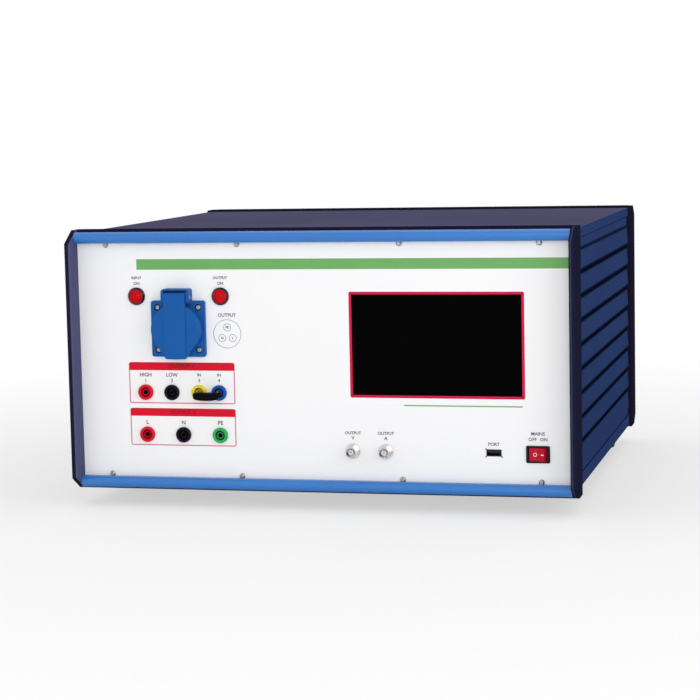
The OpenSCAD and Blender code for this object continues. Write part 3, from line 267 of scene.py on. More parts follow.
given = add_node(drawn, "NodeGroupInput")
result = add_node(drawn, "NodeGroupOutput")
place = add_node(drawn, "ShaderNodeTexCoord")
pull = add_node(drawn, "ShaderNodeVectorMath", operation="MULTIPLY")
scratch = add_node(drawn, "ShaderNodeTexNoise", {"Detail": 4.0, "Roughness": 0.65})
tint = add_node(drawn, "ShaderNodeMix", data_type="RGBA")
gloss = add_node(drawn, "ShaderNodeMapRange")
link_all(drawn, (
    (place.outputs["Object"], pull.inputs[0]),
    (given.outputs["Stretch"], pull.inputs[1]),
    (pull.outputs["Vector"], scratch.inputs["Vector"]),
    (given.outputs["Scratch Scale"], scratch.inputs["Scale"]),
    (scratch.outputs["Fac"], tint.inputs["Factor"]),
    (given.outputs["Colour"], tint.inputs["A"]),
    (given.outputs["Shade"], tint.inputs["B"]),
    (scratch.outputs["Fac"], gloss.inputs["Value"]),
    (given.outputs["Roughness Low"], gloss.inputs["To Min"]),
    (given.outputs["Roughness High"], gloss.inputs["To Max"]),
    (tint.outputs["Result"], result.inputs["Colour"]),
    (gloss.outputs["Result"], result.inputs["Roughness"]),
    (scratch.outputs["Fac"], result.inputs["Height"]),
))
print("group", drawn.name, len(drawn.nodes), "nodes")

# %% [markdown]
# ## Makers of materials
#
# A painted or moulded finish and a bare metal differ in which group they carry and in how much
# the bump shows. The Principled shader itself stays in the material, with its constant values
# set on its own sockets. A zone is added afterwards, between the colour that a material already
# has and its shader, so one material can have several.


# %% Material makers
METAL_DEPTH = 0.0001


def finish_with(group, name, values, bump, depth, shader_values):
    """A material whose colour, roughness and bump come from a group with those values."""
    material = bpy.data.materials.new(name)
    material.use_nodes = True
    tree = material.node_tree
    shader = tree.nodes["Principled BSDF"]
    skin = add_node(tree, "ShaderNodeGroup", node_tree=group)
    for key, value in values.items():
        skin.inputs[key].default_value = value
    relief = add_node(tree, "ShaderNodeBump", {"Strength": bump, "Distance": depth})
    link_all(tree, (
        (skin.outputs["Colour"], shader.inputs["Base Color"]),
        (skin.outputs["Roughness"], shader.inputs["Roughness"]),
        (skin.outputs["Height"], relief.inputs["Height"]),
        (relief.outputs["Normal"], shader.inputs["Normal"]),
    ))
    for key, value in shader_values.items():
        shader.inputs[key].default_value = value
    material.diffuse_color = values["Colour"]
    return material


def coated(name, colour, shade, rough=(0.4, 0.6), drift=8.0, grain=900.0, speckle=0.3, bump=0.2,
           depth=0.0002, **shader_values):
    """A painted or moulded finish; further names are sockets of the shader, with _ for a space."""
    values = {"Colour": colour, "Shade": shade, "Drift Scale": drift, "Grain Scale": grain,
              "Speckle": speckle, "Roughness Low": rough[0], "Roughness High": rough[1]}
    shader_values = {key.replace("_", " "): value for key, value in shader_values.items()}
    return finish_with(coat, name, values, bump, depth, shader_values)


def bare_metal(name, colour, shade, rough=(0.2, 0.4), stretch=(1, 1, 1), scratch=1500.0, bump=0.1):
    """A metal finish; stretch under 1 along an axis draws its scratches out that way."""
    values = {"Colour": colour, "Shade": shade, "Stretch": stretch, "Scratch Scale": scratch,
              "Roughness Low": rough[0], "Roughness High": rough[1]}
    return finish_with(drawn, name, values, bump, METAL_DEPTH, {"Metallic": 1.0})


def add_zone(material, colour, axis, clear, full, centre=0.0, pitch=100.0, above=-100.0):
    """Gives a finish a second colour, from none at the distance clear to all of it at full."""
    tree = material.node_tree
    shader = tree.nodes["Principled BSDF"]
    first = shader.inputs["Base Color"].links[0].from_socket
    second = add_node(tree, "ShaderNodeGroup", node_tree=zone)
    for key, value in (("Zone Colour", colour), ("Axis", axis), ("Centre", centre), ("Pitch", pitch),
                       ("Clear", clear), ("Full", full), ("Above", above)):
        second.inputs[key].default_value = value
    tree.links.new(first, second.inputs["Colour"])
    tree.links.new(second.outputs["Colour"], shader.inputs["Base Color"])


# %% [markdown]
# ## The case
#
# The front panel is smooth white coat. The corner posts and beams are a satin navy so dark that
# it reads as black from the front. The covers and side walls have a coarser, speckled texture
# coat, grey-blue on top and deep blue at the sides. The trims are satin blue anodised profiles.
# The front posts and the corner rails have materials of their own, because their zones differ
# from those of the beams and the side walls.

# %% Case finishes
white_coat = coated("white_coat", linear(247, 247, 247), linear(243, 243, 244), rough=(0.45, 0.6), drift=3.0,
                    grain=1400.0, speckle=0.2, bump=0.08, depth=0.00008, Specular_IOR_Level=0.1)
navy_coat = coated("navy_coat", linear(26, 22, 40), linear(33, 30, 50), rough=(0.4, 0.55), drift=6.0,
                   grain=1600.0, speckle=0.3, bump=0.15, depth=0.0001, Specular_IOR_Level=0.0)
post_coat = coated("post_coat", linear(24, 26, 46), linear(31, 32, 54), rough=(0.4, 0.55), drift=6.0,
                   grain=1600.0, speckle=0.3, bump=0.15, depth=0.0001, Specular_IOR_Level=0.0)
side_coat, rail_coat = (
    coated(name, linear(48, 67, 112), linear(40, 57, 100), rough=(0.5, 0.66), drift=5.0,
           grain=1300.0, speckle=0.5, bump=0.35, depth=0.0002, Specular_IOR_Level=0.0)
    for name in ("side_coat", "rail_coat"))
cover_coat = coated("cover_coat", linear(97, 94, 124), linear(80, 77, 106), rough=(0.5, 0.65), drift=4.0,
                    grain=900.0, speckle=0.6, bump=0.4, depth=0.0003, Specular_IOR_Level=0.0)
trim_coat = coated("trim_coat", linear(48, 124, 202), linear(40, 112, 190), rough=(0.18, 0.26), drift=7.0,
                   grain=1800.0, speckle=0.3, bump=0.05, depth=0.00006, Specular_IOR_Level=0.55)
rear_coat = coated("rear_coat", linear(196, 198, 203), linear(184, 187, 193), rough=(0.45, 0.6), drift=4.0,
                   grain=1200.0, speckle=0.3, bump=0.15, depth=0.0001)
print("materials so far", len(bpy.data.materials))

# %% [markdown]
# ## Zones of the case
#
# The covers turn blue at their side flanges. Each front post has one paler line of painted light
# along its length: on the left post the light that the white panel throws onto its inner face, on
# the right post a painted highlight on its nose. The side walls get painted shade towards their
# grooves, and walls and rails get painted shade at their seams.
# The planes of the zones come from the boxes of the pieces themselves, in metres.

# %% Case zones
FLANGE_CLEAR = 0.0006
FLANGE_FULL = 0.0003
cover_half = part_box("top_cover")[1][0]
add_zone(cover_coat, linear(43, 61, 105), (1, 0, 0),
         clear=cover_half - FLANGE_CLEAR, full=cover_half - FLANGE_FULL)

# Painted light: the left post's paler band stands in for light thrown by the white panel onto its inner face,
# and the right post's thin line is a painted highlight on its nose.
LEFT_PAINTED_LIGHT_IN = 0.0053
RIGHT_PAINTED_HIGHLIGHT_IN = 0.0034
post_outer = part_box("front_post_right")[1][0]
add_zone(post_coat, linear(86, 86, 120), (1, 0, 0), clear=0.0015, full=0.0005,
         centre=LEFT_PAINTED_LIGHT_IN - post_outer)
add_zone(post_coat, linear(62, 60, 90), (1, 0, 0), clear=0.0009, full=0.0003,
         centre=post_outer - RIGHT_PAINTED_HIGHLIGHT_IN)

# Painted shade: each slat of the side walls darkens towards its groove, where shadow falls.
GROOVE_PITCH = 0.0217
GROOVE_HALF = 0.0017
GROOVE_SHADE_CLEAR = 0.0022
GROOVE_SHADE_FULL = 0.0004
LOWEST_GROOVE = 0.045
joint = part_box("side_panel_right")[1][2] + GROOVE_HALF
add_zone(side_coat, linear(18, 26, 50), (0, 0, 1), clear=GROOVE_HALF + GROOVE_SHADE_CLEAR,
         full=GROOVE_HALF + GROOVE_SHADE_FULL, centre=joint, pitch=GROOVE_PITCH, above=LOWEST_GROOVE)

# Painted shade: walls and rails darken in a soft band along their seams with the covers, where shade falls
# into the joints.
SEAM_SHADE_COLOUR = linear(20, 28, 54)
RAIL_SEAM_DROP = 0.0009
SHADED_SEAMS = (
    (side_coat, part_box("bottom_cover")[1][2], 0.0026),
    (rail_coat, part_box("top_cover")[0][2], 0.0011),
    (rail_coat, joint - RAIL_SEAM_DROP, 0.0022),
)
for finish, seam, spread in SHADED_SEAMS:
    add_zone(finish, SEAM_SHADE_COLOUR, (0, 0, 1), clear=spread, full=spread / 3, centre=seam)
print("seams", len(SHADED_SEAMS), "groove joint at", round(joint, 4))

# %% [markdown]
# ## Plastics
#
# The outlet is a satin blue moulding. The sockets take the colours of their circuits and share
# one maker. The lamps' lenses are the smoothest, then the bridging plug, the window and the
# rocker, and the feet are the roughest.


# %% Plastics
def socket_plastic(name, colour, shade, gloss, rough=(0.25, 0.4)):
    """The smooth moulding of a safety socket; gloss is the shader's specular level."""
    return coated(name, colour, shade, rough=rough, drift=60.0, grain=2500.0, bump=0.08,
                  depth=0.0001, Specular_IOR_Level=gloss)


outlet_blue = coated("outlet_blue", linear(26, 94, 168), linear(22, 86, 158), rough=(0.3, 0.45), drift=30.0,
                     grain=2200.0, speckle=0.3, bump=0.1, depth=0.0001, Specular_IOR_Level=0.1)
socket_red = socket_plastic("socket_red", linear(222, 22, 50), linear(205, 16, 42), 0.12)
socket_black = socket_plastic("socket_black", linear(10, 10, 28), linear(14, 15, 34), 0.1)
socket_yellow = socket_plastic("socket_yellow", linear(236, 222, 60), linear(222, 204, 44), 0.25,
                               rough=(0.3, 0.45))
socket_blue = socket_plastic("socket_blue", linear(30, 88, 178), linear(24, 76, 162), 0.12)
socket_green = socket_plastic("socket_green", linear(48, 178, 96), linear(40, 160, 84), 0.25,
                              rough=(0.3, 0.45))
lens_red = coated("lens_red", linear(210, 8, 20), linear(190, 4, 16), rough=(0.05, 0.09), drift=160.0,
                  grain=900.0, bump=0.04, depth=0.0001, Specular_IOR_Level=0.07)
rocker_red = coated("rocker_red", linear(206, 10, 48), linear(176, 6, 38), rough=(0.2, 0.3), drift=60.0,
                    grain=2000.0, bump=0.05, depth=0.0001, Specular_IOR_Level=0.16)
black_plastic = coated("black_plastic", linear(24, 24, 28), linear(34, 34, 38), rough=(0.4, 0.55), drift=40.0,
                       grain=1800.0, bump=0.15, depth=0.0001)
plug_black = coated("plug_black", linear(4, 4, 10), linear(7, 7, 14), rough=(0.12, 0.2), drift=50.0,
                    grain=1500.0, bump=0.04, depth=0.0001, Specular_IOR_Level=0.06)
switch_black = coated("switch_black", linear(17, 17, 34), linear(24, 24, 42), rough=(0.35, 0.5), drift=40.0,
                      grain=1800.0, bump=0.1, depth=0.0001, Specular_IOR_Level=0.12)
port_black = coated("port_black", linear(26, 26, 46), linear(34, 34, 56), rough=(0.4, 0.5), drift=60.0,
                    grain=2000.0, bump=0.08, depth=0.0001, Specular_IOR_Level=0.2)
screen_glass = coated("screen_glass", linear(2, 2, 3), linear(4, 4, 5), rough=(0.16, 0.22), drift=12.0,
                      grain=1500.0, bump=0.02, depth=0.00005, Specular_IOR_Level=0.01)
foot_rubber = coated("foot_rubber", linear(20, 20, 22), linear(30, 30, 32), rough=(0.7, 0.85), drift=40.0,
                     grain=1400.0, speckle=0.5, bump=0.3, depth=0.0003)
insulator = coated("insulator", linear(226, 226, 218), linear(212, 212, 204), rough=(0.4, 0.5), drift=60.0,
                   grain=2000.0, bump=0.08, depth=0.0001)
board_green = coated("board_green", linear(22, 96, 52), linear(14, 74, 40), rough=(0.3, 0.45), drift=50.0,
                     grain=1200.0, speckle=0.5, bump=0.1, depth=0.0001)
relay_grey = coated("relay_grey", linear(52, 55, 64), linear(42, 45, 54), rough=(0.4, 0.5), drift=40.0,
                    grain=1600.0, bump=0.1, depth=0.0001)
film_blue = coated("film_blue", linear(58, 116, 170), linear(48, 100, 152), rough=(0.3, 0.4), drift=40.0,
                   grain=1600.0, bump=0.1, depth=0.0001)
print("materials so far", len(bpy.data.materials))

# %% [markdown]
# ## Bare metals
#
# Screws and jacks are plated, contacts are brass, and the windings inside are enamelled copper. The
# tubes deep in the safety sockets get a dark brown metal that paints the shade they sit in.

# %% Metals
plated_steel = bare_metal("plated_steel", linear(204, 198, 202), linear(146, 138, 144), rough=(0.25, 0.45))
nickel = bare_metal("nickel", linear(232, 229, 227), linear(204, 201, 201), rough=(0.18, 0.34),
                    stretch=(1, 0.2, 1))
brass = bare_metal("brass", linear(214, 184, 116), linear(176, 142, 78), rough=(0.2, 0.35))
# Painted shade: the socket tubes are given a dark colour for the shade deep inside the sockets.
shaded_tube_metal = bare_metal("shaded_tube_metal", linear(112, 84, 62), linear(72, 52, 42), rough=(0.3, 0.45))
port_metal = bare_metal("port_metal", linear(88, 86, 108), linear(56, 54, 74), rough=(0.3, 0.45))
lamp_ring = bare_metal("lamp_ring", linear(92, 66, 78), linear(60, 40, 52), rough=(0.15, 0.28))
sheet_metal = bare_metal("sheet_metal", linear(196, 198, 202), linear(170, 172, 176), rough=(0.3, 0.5),
                         stretch=(0.03, 1, 1), scratch=900.0)
copper = bare_metal("copper", linear(176, 98, 62), linear(130, 66, 38), rough=(0.2, 0.4), stretch=(1, 1, 0.2))
guard_wire = bare_metal("guard_wire", linear(205, 205, 208), linear(170, 170, 174), rough=(0.15, 0.28))
print("materials so far", len(bpy.data.materials))

# %% [markdown]
# ## Dressing the pieces
#
# Every rigid piece is already there, so it only needs its finish in its material slots. The list
# reads by finish, because one finish often serves several pieces.

# %% Dress the nodes
dress = {
    white_coat: "front_panel",
    post_coat: "front_post_left front_post_right",
    navy_coat: "front_beam_top front_beam_bottom rear_post_left rear_post_right rear_beams",
    side_coat: "side_panel_left side_panel_right",
    rail_coat: "corner_rails",
    cover_coat: "top_cover bottom_cover",
    trim_coat: "trim_top trim_bottom",
    rear_coat: "rear_panel",
    outlet_blue: "outlet_body outlet_lid",
    socket_red: "red_sockets",
    socket_black: "black_sockets",
    socket_yellow: "yellow_socket",
    socket_blue: "blue_socket",
    socket_green: "green_sockets",
    lens_red: "lamp_lenses",
    rocker_red: "switch_rocker",
    black_plastic: "inlet_body fuse_drawer fan_frame fan_rotor",
    switch_black: "switch_housing",
    port_black: "usb_tongue",
    port_metal: "usb_shell",
    plug_black: "bridge_plug_body",
    screen_glass: "touch_window",
    foot_rubber: "feet",
    insulator: "bnc_cores",
    board_green: "circuit_boards",
    relay_grey: "relays",
    film_blue: "coupling_capacitors",
    plated_steel: "front_panel_screws outlet_screws case_screws outlet_hinge_pin outlet_spring",
    nickel: "bnc_jacks inlet_pins",
    brass: "outlet_contacts bridge_plug_pins earth_terminal",
    shaded_tube_metal: "socket_tubes",
    lamp_ring: "lamp_bezels",
    sheet_metal: "chassis_plate power_supply mains_filter high_voltage_supply "
                 "storage_capacitors display_module",
    copper: "shaping_parts decoupling_inductors",
    guard_wire: "fan_guard",
}
dressed = set()
for material, names in dress.items():
    for name in names.split():
        for slot in nodes[name].material_slots:
            slot.material = material
        dressed.add(name)
print("dressed", len(dressed), "left", sorted(set(nodes) - dressed))

# %% [markdown]
# ## Printing on the panel
#
# The panel is screen printed: a green stripe, red fields round the sockets, a crimson border
# round the window, and small grey lettering. Ink lies about a tenth of a millimetre proud, which
# is enough to stay clear of the panel from any distance. A flat shape starts as one face in
# panel millimetres; insetting a face and removing its middle leaves a border.

# %% Ink and flat shapes
INK = 0.12


def ink(name, colour, shade):
    return coated(name, colour, shade, rough=(0.4, 0.55), drift=25.0, grain=1800.0, speckle=0.2, bump=0.05,
                  depth=0.00005, Specular_IOR_Level=0.15)


def rounded_face(mesh, x0, x1, z0, z1, radius, top_only=False):
    """One upright face in panel millimetres, with all its corners or only the upper ones rounded."""
    others = set(mesh.verts)
    corners = bmesh.ops.create_grid(mesh, x_segments=1, y_segments=1, size=0.5)["verts"]
    bmesh.ops.scale(mesh, vec=(x1 - x0, z1 - z0, 1), verts=corners)
    if radius > 0:
        rounded = [v for v in corners if v.co.y > 0 or not top_only]
        bmesh.ops.bevel(mesh, geom=rounded, offset=radius, offset_type="OFFSET", affect="VERTICES",
                        segments=6, profile=0.5, material=-1)
    fresh = [v for v in mesh.verts if v not in others]
    bmesh.ops.rotate(mesh, verts=fresh, cent=(0, 0, 0), matrix=Matrix.Rotation(math.pi / 2, 3, "X"))
    bmesh.ops.translate(mesh, verts=fresh, vec=((x0 + x1) / 2, 0, (z0 + z1) / 2))
    return fresh[0].link_faces[0]


def round_face(mesh, x, y, z, radius, segments):
    """One upright round face in panel millimetres."""
    made = bmesh.ops.create_circle(mesh, cap_ends=True, radius=radius, segments=segments)["verts"]
    bmesh.ops.rotate(mesh, verts=made, cent=(0, 0, 0), matrix=Matrix.Rotation(math.pi / 2, 3, "X"))
    bmesh.ops.translate(mesh, verts=made, vec=(x, y, z))
    return made[0].link_faces[0]


def hollow(mesh, face, width):
    """Turns a face into a border of that width."""
    bmesh.ops.inset_region(mesh, faces=[face], thickness=width, use_boundary=True,
                           use_even_offset=True)
    bmesh.ops.delete(mesh, geom=[face], context="FACES_ONLY")


def finish_piece(name, mesh, material, body):
    """Turns a shape in panel millimetres into an object that rides on a body."""
    bmesh.ops.scale(mesh, vec=(0.001, 0.001, 0.001), verts=mesh.verts[:])
    bmesh.ops.translate(mesh, verts=mesh.verts[:], vec=at_panel(0, 0, 0))
    data = bpy.data.meshes.new(name)
    mesh.to_mesh(data)
    mesh.free()
    data.materials.append(material)
    piece = bpy.data.objects.new(name, data)
    bpy.context.scene.collection.objects.link(piece)
    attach(piece, body)
    print(name, len(data.polygons), "faces")


def print_piece(name, mesh, material, body="case", thickness=INK):
    """Gives the flat faces the ink's thickness towards the viewer and makes them an object."""
    raised = bmesh.ops.extrude_face_region(mesh, geom=mesh.faces[:])["geom"]
    front = [v for v in raised if isinstance(v, bmesh.types.BMVert)]
    bmesh.ops.translate(mesh, verts=front, vec=(0, -thickness, 0))
    bmesh.ops.recalc_face_normals(mesh, faces=mesh.faces[:])
    finish_piece(name, mesh, material, body)


green_ink = ink("green_ink", linear(118, 178, 104), linear(110, 170, 98))
header_ink = ink("header_ink", linear(222, 8, 46), linear(212, 6, 42))
outline_ink = ink("outline_ink", linear(216, 96, 140), linear(208, 88, 132))
border_ink = ink("border_ink", linear(214, 20, 78), linear(204, 16, 70))
tab_ink = ink("tab_ink", linear(34, 32, 52), linear(26, 24, 44))
letter_ink = ink("letter_ink", linear(86, 86, 124), linear(74, 74, 112))
header_letter_ink = ink("header_letter_ink", linear(150, 12, 34), linear(138, 8, 30))
mark_ink = ink("mark_ink", linear(236, 236, 236), linear(226, 226, 226))

# %% Stripe, socket fields and window border
STRIPE = (-171.0, 227.4, 190.0, 199.6)
RULE = (77, 183.7, 67.5, 68.6)
FIELDS = ((-181.3, -80.0, 67.1, 105.1, 97.7), (-181.2, -80.0, 28.2, 62.7, 55.4))
WINDOW = (30.3, 183.7, 77.0, 167.4)
FIELD_CORNER = 2.2
FIELD_LINE = 0.9
HEADER_LIFT = 0.03
BORDER = 2.4
BORDER_CORNER = 1.6

mesh = bmesh.new()
rounded_face(mesh, *STRIPE, 0)
print_piece("green_stripe", mesh, green_ink)

mesh = bmesh.new()
rounded_face(mesh, *RULE, 0)
print_piece("green_rule", mesh, green_ink)

mesh = bmesh.new()
for x0, x1, z0, z1, _ in FIELDS:
    hollow(mesh, rounded_face(mesh, x0, x1, z0, z1, FIELD_CORNER), FIELD_LINE)
print_piece("field_outlines", mesh, outline_ink)

mesh = bmesh.new()
for x0, x1, _, z1, header_z in FIELDS:
    rounded_face(mesh, x0, x1, header_z, z1, FIELD_CORNER, top_only=True)
print_piece("field_headers", mesh, header_ink, thickness=INK + HEADER_LIFT)

mesh = bmesh.new()
x0, x1, z0, z1 = WINDOW
border = rounded_face(mesh, x0 - BORDER, x1 + BORDER, z0 - BORDER, z1 + BORDER, BORDER_CORNER)
hollow(mesh, border, BORDER)
print_piece("window_border", mesh, border_ink)

# %% [markdown]
# ## Spring tabs of the port
#
# The port's shell is held by small bent tabs, of which three show as dark ears on the panel just
# outside the corners of its mouth. The boxes of the port's own pieces say where its middle is.

# %% Port tabs
TAB_LONG = 1.7
TAB_WIDE = 0.8
TAB_THICK = 0.4
MOUTH_HALF_W = 6.7
MOUTH_HALF_H = 3.0


def panel_box(name):
    """The lowest and the highest corner of a piece's box, in panel millimetres."""
    return [(Vector(corner) - at_panel(0, 0, 0)) * 1000 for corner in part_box(name)]


tongue = panel_box("usb_tongue")
shell = panel_box("usb_shell")
port_x = (tongue[0].x + tongue[1].x) / 2
port_z = (shell[0].z + shell[1].z) / 2
left_x, right_x = port_x - MOUTH_HALF_W, port_x + MOUTH_HALF_W
low_z, high_z = port_z - MOUTH_HALF_H, port_z + MOUTH_HALF_H
print("port middle", round(port_x, 2), round(port_z, 2))
mesh = bmesh.new()
for x, z, side, rise in ((left_x, high_z, -1, 1), (left_x, low_z, -1, -1), (right_x, low_z, 1, -1)):
    tab = rounded_face(mesh, -TAB_LONG / 2, TAB_LONG / 2, -TAB_WIDE / 2, TAB_WIDE / 2, 0)
    corners = list(tab.verts)
    lean = Matrix.Rotation(-side * rise * math.pi / 4, 3, "Y")
    bmesh.ops.rotate(mesh, verts=corners, cent=(0, 0, 0), matrix=lean)
    outward = (x + side * TAB_WIDE / 2, 0, z + rise * TAB_WIDE / 2)
    bmesh.ops.translate(mesh, verts=corners, vec=outward)
print_piece("port_tabs", mesh, tab_ink, thickness=TAB_THICK)

# %% [markdown]
# ## Lettering
#
# The labels are plain words and terminal letters in the panel's grey ink. Text starts flat in
# the XY plane, so it becomes a mesh first and is then stood up against the panel.


# %% Lettering
LETTER_WEIGHT = 0.08


def letters(text, x, z, size, y=0.0):
    """A line of upright text centred at x and z, as a mesh in panel millimetres."""
    line = bpy.data.curves.new(text, "FONT")
    line.body = text
    line.size = size
    line.align_x = "CENTER"
    line.align_y = "CENTER"
    line.extrude = INK / 2
    line.offset = LETTER_WEIGHT
    line.resolution_u = 3
    holder = bpy.data.objects.new(text, line)
    bpy.context.scene.collection.objects.link(holder)
    bpy.context.view_layer.update()
    evaluated = holder.evaluated_get(bpy.context.evaluated_depsgraph_get())
    flat = bpy.data.meshes.new_from_object(evaluated)
    bpy.data.objects.remove(holder)
    flat.transform(Matrix.Rotation(math.pi / 2, 4, "X"))
    flat.transform(Matrix.Translation((x, y - INK / 2, z)))
    return flat


def letter_piece(name, lines, material):
    """Joins lines of text into one object on the panel."""
    mesh = bmesh.new()
    for line in lines:
        flat = letters(*line)
        mesh.from_mesh(flat)
        bpy.data.meshes.remove(flat)
    finish_piece(name, mesh, material, "case")


letter_piece("panel_lettering", [
    ("INPUT", -171.5, 182.4, 3.4), ("ON", -171.5, 177.3, 3.8),
    ("OUTPUT", -91.5, 182.4, 3.4), ("ON", -91.5, 177.3, 3.8),
    ("OUTPUT", -86, 148.4, 4.4),
    ("HIGH", -165.3, 93.4, 4.8), ("1", -165.3, 88.2, 4.4),
    ("LOW", -140.1, 93.4, 4.8), ("2", -140.1, 88.2, 4.4),
    ("IN", -114, 93.6, 3.6), ("3", -114, 88.6, 4.0),
    ("IN", -95, 93.6, 3.6), ("4", -95, 88.6, 4.0),
    ("L", -164.8, 49.6, 5.2), ("N", -130, 49.6, 5.2), ("PE", -94.8, 49.6, 5.2),
    ("OUTPUT", 29.5, 42.4, 3.8), ("V", 29.5, 37.9, 4.6),
    ("OUTPUT", 59.8, 42.4, 3.8), ("A", 59.8, 37.9, 4.6),
    ("PORT", 157.6, 34.3, 4.0),
    ("MAINS", 197, 44.2, 4.2), ("OFF", 192.2, 39.2, 4.2), ("ON", 202.2, 39.2, 4.2),
], letter_ink)
letter_piece("header_lettering", [
    ("OUTPUT 1", -130.6, 101.4, 5.2, -INK - HEADER_LIFT),
    ("OUTPUT 2", -130.6, 59.0, 5.2, -INK - HEADER_LIFT),
], header_letter_ink)

# %% [markdown]
# ## The socket diagram
#
# Beside the outlet a thin circle shows the outlet's face with its three contacts: earth at the
# top, neutral and live below.

# %% Socket diagram
DIAGRAM_MIDDLE = (-86, 131.5)
DIAGRAM_RADIUS = 13.1
DIAGRAM_LINE = 0.35
DIAGRAM_SEGMENTS = 64
CONTACTS = (("PE", -85.9, 137.4), ("N", -90.8, 127.6), ("L", -80.9, 127.7))
CONTACT_RADIUS = 3.5
CONTACT_LETTER = 3.0

mesh = bmesh.new()
circles = [(*DIAGRAM_MIDDLE, DIAGRAM_RADIUS)]
circles += [(x, z, CONTACT_RADIUS) for _, x, z in CONTACTS]
for x, z, radius in circles:
    hollow(mesh, round_face(mesh, x, 0, z, radius, DIAGRAM_SEGMENTS), DIAGRAM_LINE)
print_piece("socket_diagram", mesh, letter_ink)
letter_piece("diagram_lettering", [(text, x, z, CONTACT_LETTER) for text, x, z in CONTACTS], letter_ink)

# %% [markdown]
# ## Marks on the rocker
#
# The rocker carries a white circle on its pressed side and a white bar on the side that stands
# out. They turn with the rocker, so they ride on its body and lie in its two faces.

# %% Rocker marks
ROCKER_X, ROCKER_Y, ROCKER_Z = 197.0, 1.5, 26.0
ROCKER_FACE = 3.2
THROW = math.radians(22)
MARK_INK = 0.06
CIRCLE_LEFT = 2.5
CIRCLE_RADIUS = 1.7
CIRCLE_LINE = 0.5
CIRCLE_SEGMENTS = 32
BAR_RIGHT = 5.7
BAR_HALF_W = 1.4
BAR_HALF_H = 0.45

mesh = bmesh.new()
circle = round_face(mesh, ROCKER_X - CIRCLE_LEFT, ROCKER_Y - ROCKER_FACE, ROCKER_Z, CIRCLE_RADIUS,
                    CIRCLE_SEGMENTS)
hollow(mesh, circle, CIRCLE_LINE)
print_piece("rocker_circle", mesh, mark_ink, body="rocker", thickness=MARK_INK)

mesh = bmesh.new()
rounded_face(mesh, -BAR_HALF_W, BAR_HALF_W, -BAR_HALF_H, BAR_HALF_H, 0)
bmesh.ops.translate(mesh, verts=mesh.verts[:], vec=(BAR_RIGHT, -ROCKER_FACE, 0))
bmesh.ops.rotate(mesh, verts=mesh.verts[:], cent=(0, 0, 0), matrix=Matrix.Rotation(-THROW, 3, "Z"))
bmesh.ops.translate(mesh, verts=mesh.verts[:], vec=(ROCKER_X, ROCKER_Y, ROCKER_Z))
print_piece("rocker_bar", mesh, mark_ink, body="rocker", thickness=MARK_INK)

# %% [markdown]
# ## Floor and light
#
# The floor is a plain pale plane. To the camera about half of its look is glow near the object,
# where its shadow stays, and all of it is glow a metre away, where it meets the white background.
# Two soft lamps stand in front, one of them low so that the lower trim catches it, one stands to
# the right and one hangs overhead. The camera, mirrors and glass see a white world, while the
# surfaces are lit by a dimmer one, so the background is white without washing out the colours.

# %% Floor
FLOOR_HALF = 6
FADE_FROM = 0.35
FADE_TO = 1.1
NEAR_GLOW = 0.55

mesh = bmesh.new()
bmesh.ops.create_grid(mesh, x_segments=1, y_segments=1, size=FLOOR_HALF)
data = bpy.data.meshes.new("floor")
mesh.to_mesh(data)
mesh.free()
floor = bpy.data.objects.new("floor", data)
bpy.context.scene.collection.objects.link(floor)

floor_look = bpy.data.materials.new("floor_look")
floor_look.use_nodes = True
tree = floor_look.node_tree
shader = tree.nodes["Principled BSDF"]
shader.inputs["Base Color"].default_value = (0.9, 0.9, 0.9, 1)
shader.inputs["Roughness"].default_value = 0.8
glow = add_node(tree, "ShaderNodeEmission", {"Strength": 1.0})
path = add_node(tree, "ShaderNodeLightPath")
where = add_node(tree, "ShaderNodeTexCoord")
reach = add_node(tree, "ShaderNodeVectorMath", operation="LENGTH")
fade = add_node(tree, "ShaderNodeMapRange",
                {"From Min": FADE_FROM, "From Max": FADE_TO, "To Min": NEAR_GLOW, "To Max": 1.0},
                interpolation_type="SMOOTHSTEP")
share = add_node(tree, "ShaderNodeMath", operation="MULTIPLY")
blend = add_node(tree, "ShaderNodeMixShader")
link_all(tree, (
    (where.outputs["Object"], reach.inputs[0]),
    (reach.outputs["Value"], fade.inputs["Value"]),
    (fade.outputs["Result"], share.inputs[1]),
    (path.outputs["Is Camera Ray"], share.inputs[0]),
    (share.outputs["Value"], blend.inputs["Fac"]),
    (shader.outputs["BSDF"], blend.inputs[1]),
    (glow.outputs["Emission"], blend.inputs[2]),
    (blend.outputs["Shader"], tree.nodes["Material Output"].inputs["Surface"]),
))
data.materials.append(floor_look)
print("floor", floor.name)

# %% World
AMBIENT = 0.74

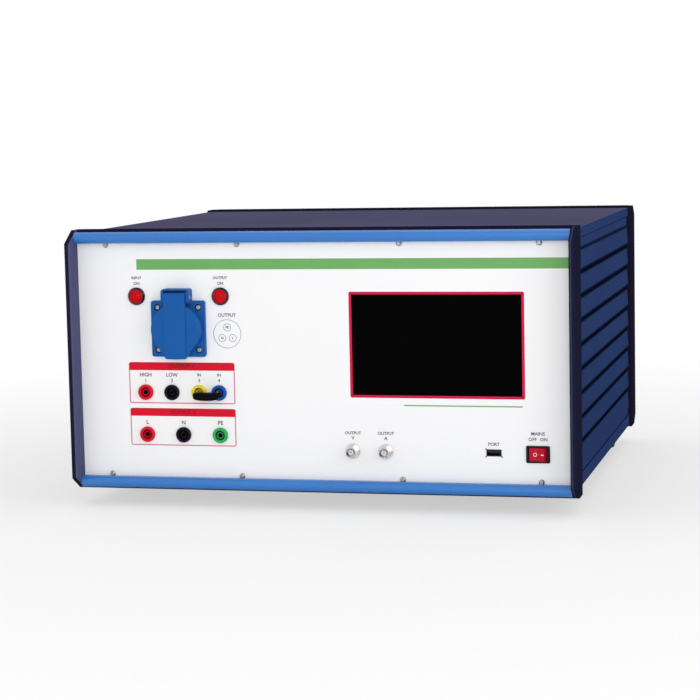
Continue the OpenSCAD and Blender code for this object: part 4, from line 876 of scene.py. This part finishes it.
world = bpy.data.worlds.new("studio")
bpy.context.scene.world = world
world.use_nodes = True
tree = world.node_tree
dim = tree.nodes["Background"]
dim.inputs["Color"].default_value = (1, 1, 1, 1)
dim.inputs["Strength"].default_value = AMBIENT
bright = add_node(tree, "ShaderNodeBackground", {"Color": (1, 1, 1, 1), "Strength": 1.0})
path = add_node(tree, "ShaderNodeLightPath")
sees = add_node(tree, "ShaderNodeMath", operation="MAXIMUM")
sees_all = add_node(tree, "ShaderNodeMath", operation="MAXIMUM")
blend = add_node(tree, "ShaderNodeMixShader")
link_all(tree, (
    (path.outputs["Is Camera Ray"], sees.inputs[0]),
    (path.outputs["Is Glossy Ray"], sees.inputs[1]),
    (sees.outputs["Value"], sees_all.inputs[0]),
    (path.outputs["Is Transmission Ray"], sees_all.inputs[1]),
    (sees_all.outputs["Value"], blend.inputs["Fac"]),
    (dim.outputs["Background"], blend.inputs[1]),
    (bright.outputs["Background"], blend.inputs[2]),
    (blend.outputs["Shader"], tree.nodes["World Output"].inputs["Surface"]),
))
print("world", world.name, "ambient", AMBIENT)

# %% Lamps
FRONT_TARGET = (0, -0.1, 0.12)
SIDE_TARGET = (0, 0, 0.12)
TOP_TARGET = (0, 0, 0.1)


def soft_lamp(name, place, target, size, power):
    """A round area lamp, with its diameter in metres and its power in watts."""
    lamp = bpy.data.lights.new(name, "AREA")
    lamp.shape = "DISK"
    lamp.size = size
    lamp.energy = power
    holder = bpy.data.objects.new(name, lamp)
    aim = (Vector(target) - Vector(place)).to_track_quat("-Z", "Y")
    holder.matrix_world = Matrix.Translation(place) @ aim.to_matrix().to_4x4()
    bpy.context.scene.collection.objects.link(holder)


soft_lamp("front", (0.7, -3.5, 0.9), FRONT_TARGET, 1.8, 13)
soft_lamp("front_low", (0.5, -2.6, 0.45), FRONT_TARGET, 0.8, 6.5)
soft_lamp("front_right", (2.4, -1.6, 1.2), SIDE_TARGET, 1.6, 12)
soft_lamp("overhead", (0.2, 0.6, 2.8), TOP_TARGET, 2.2, 8)
print("lamps", len(bpy.data.lights))

# %% [markdown]
# ## Colours
#
# The Standard view transform shows each colour about as it was written.

bpy.context.scene.view_settings.view_transform = "Standard"
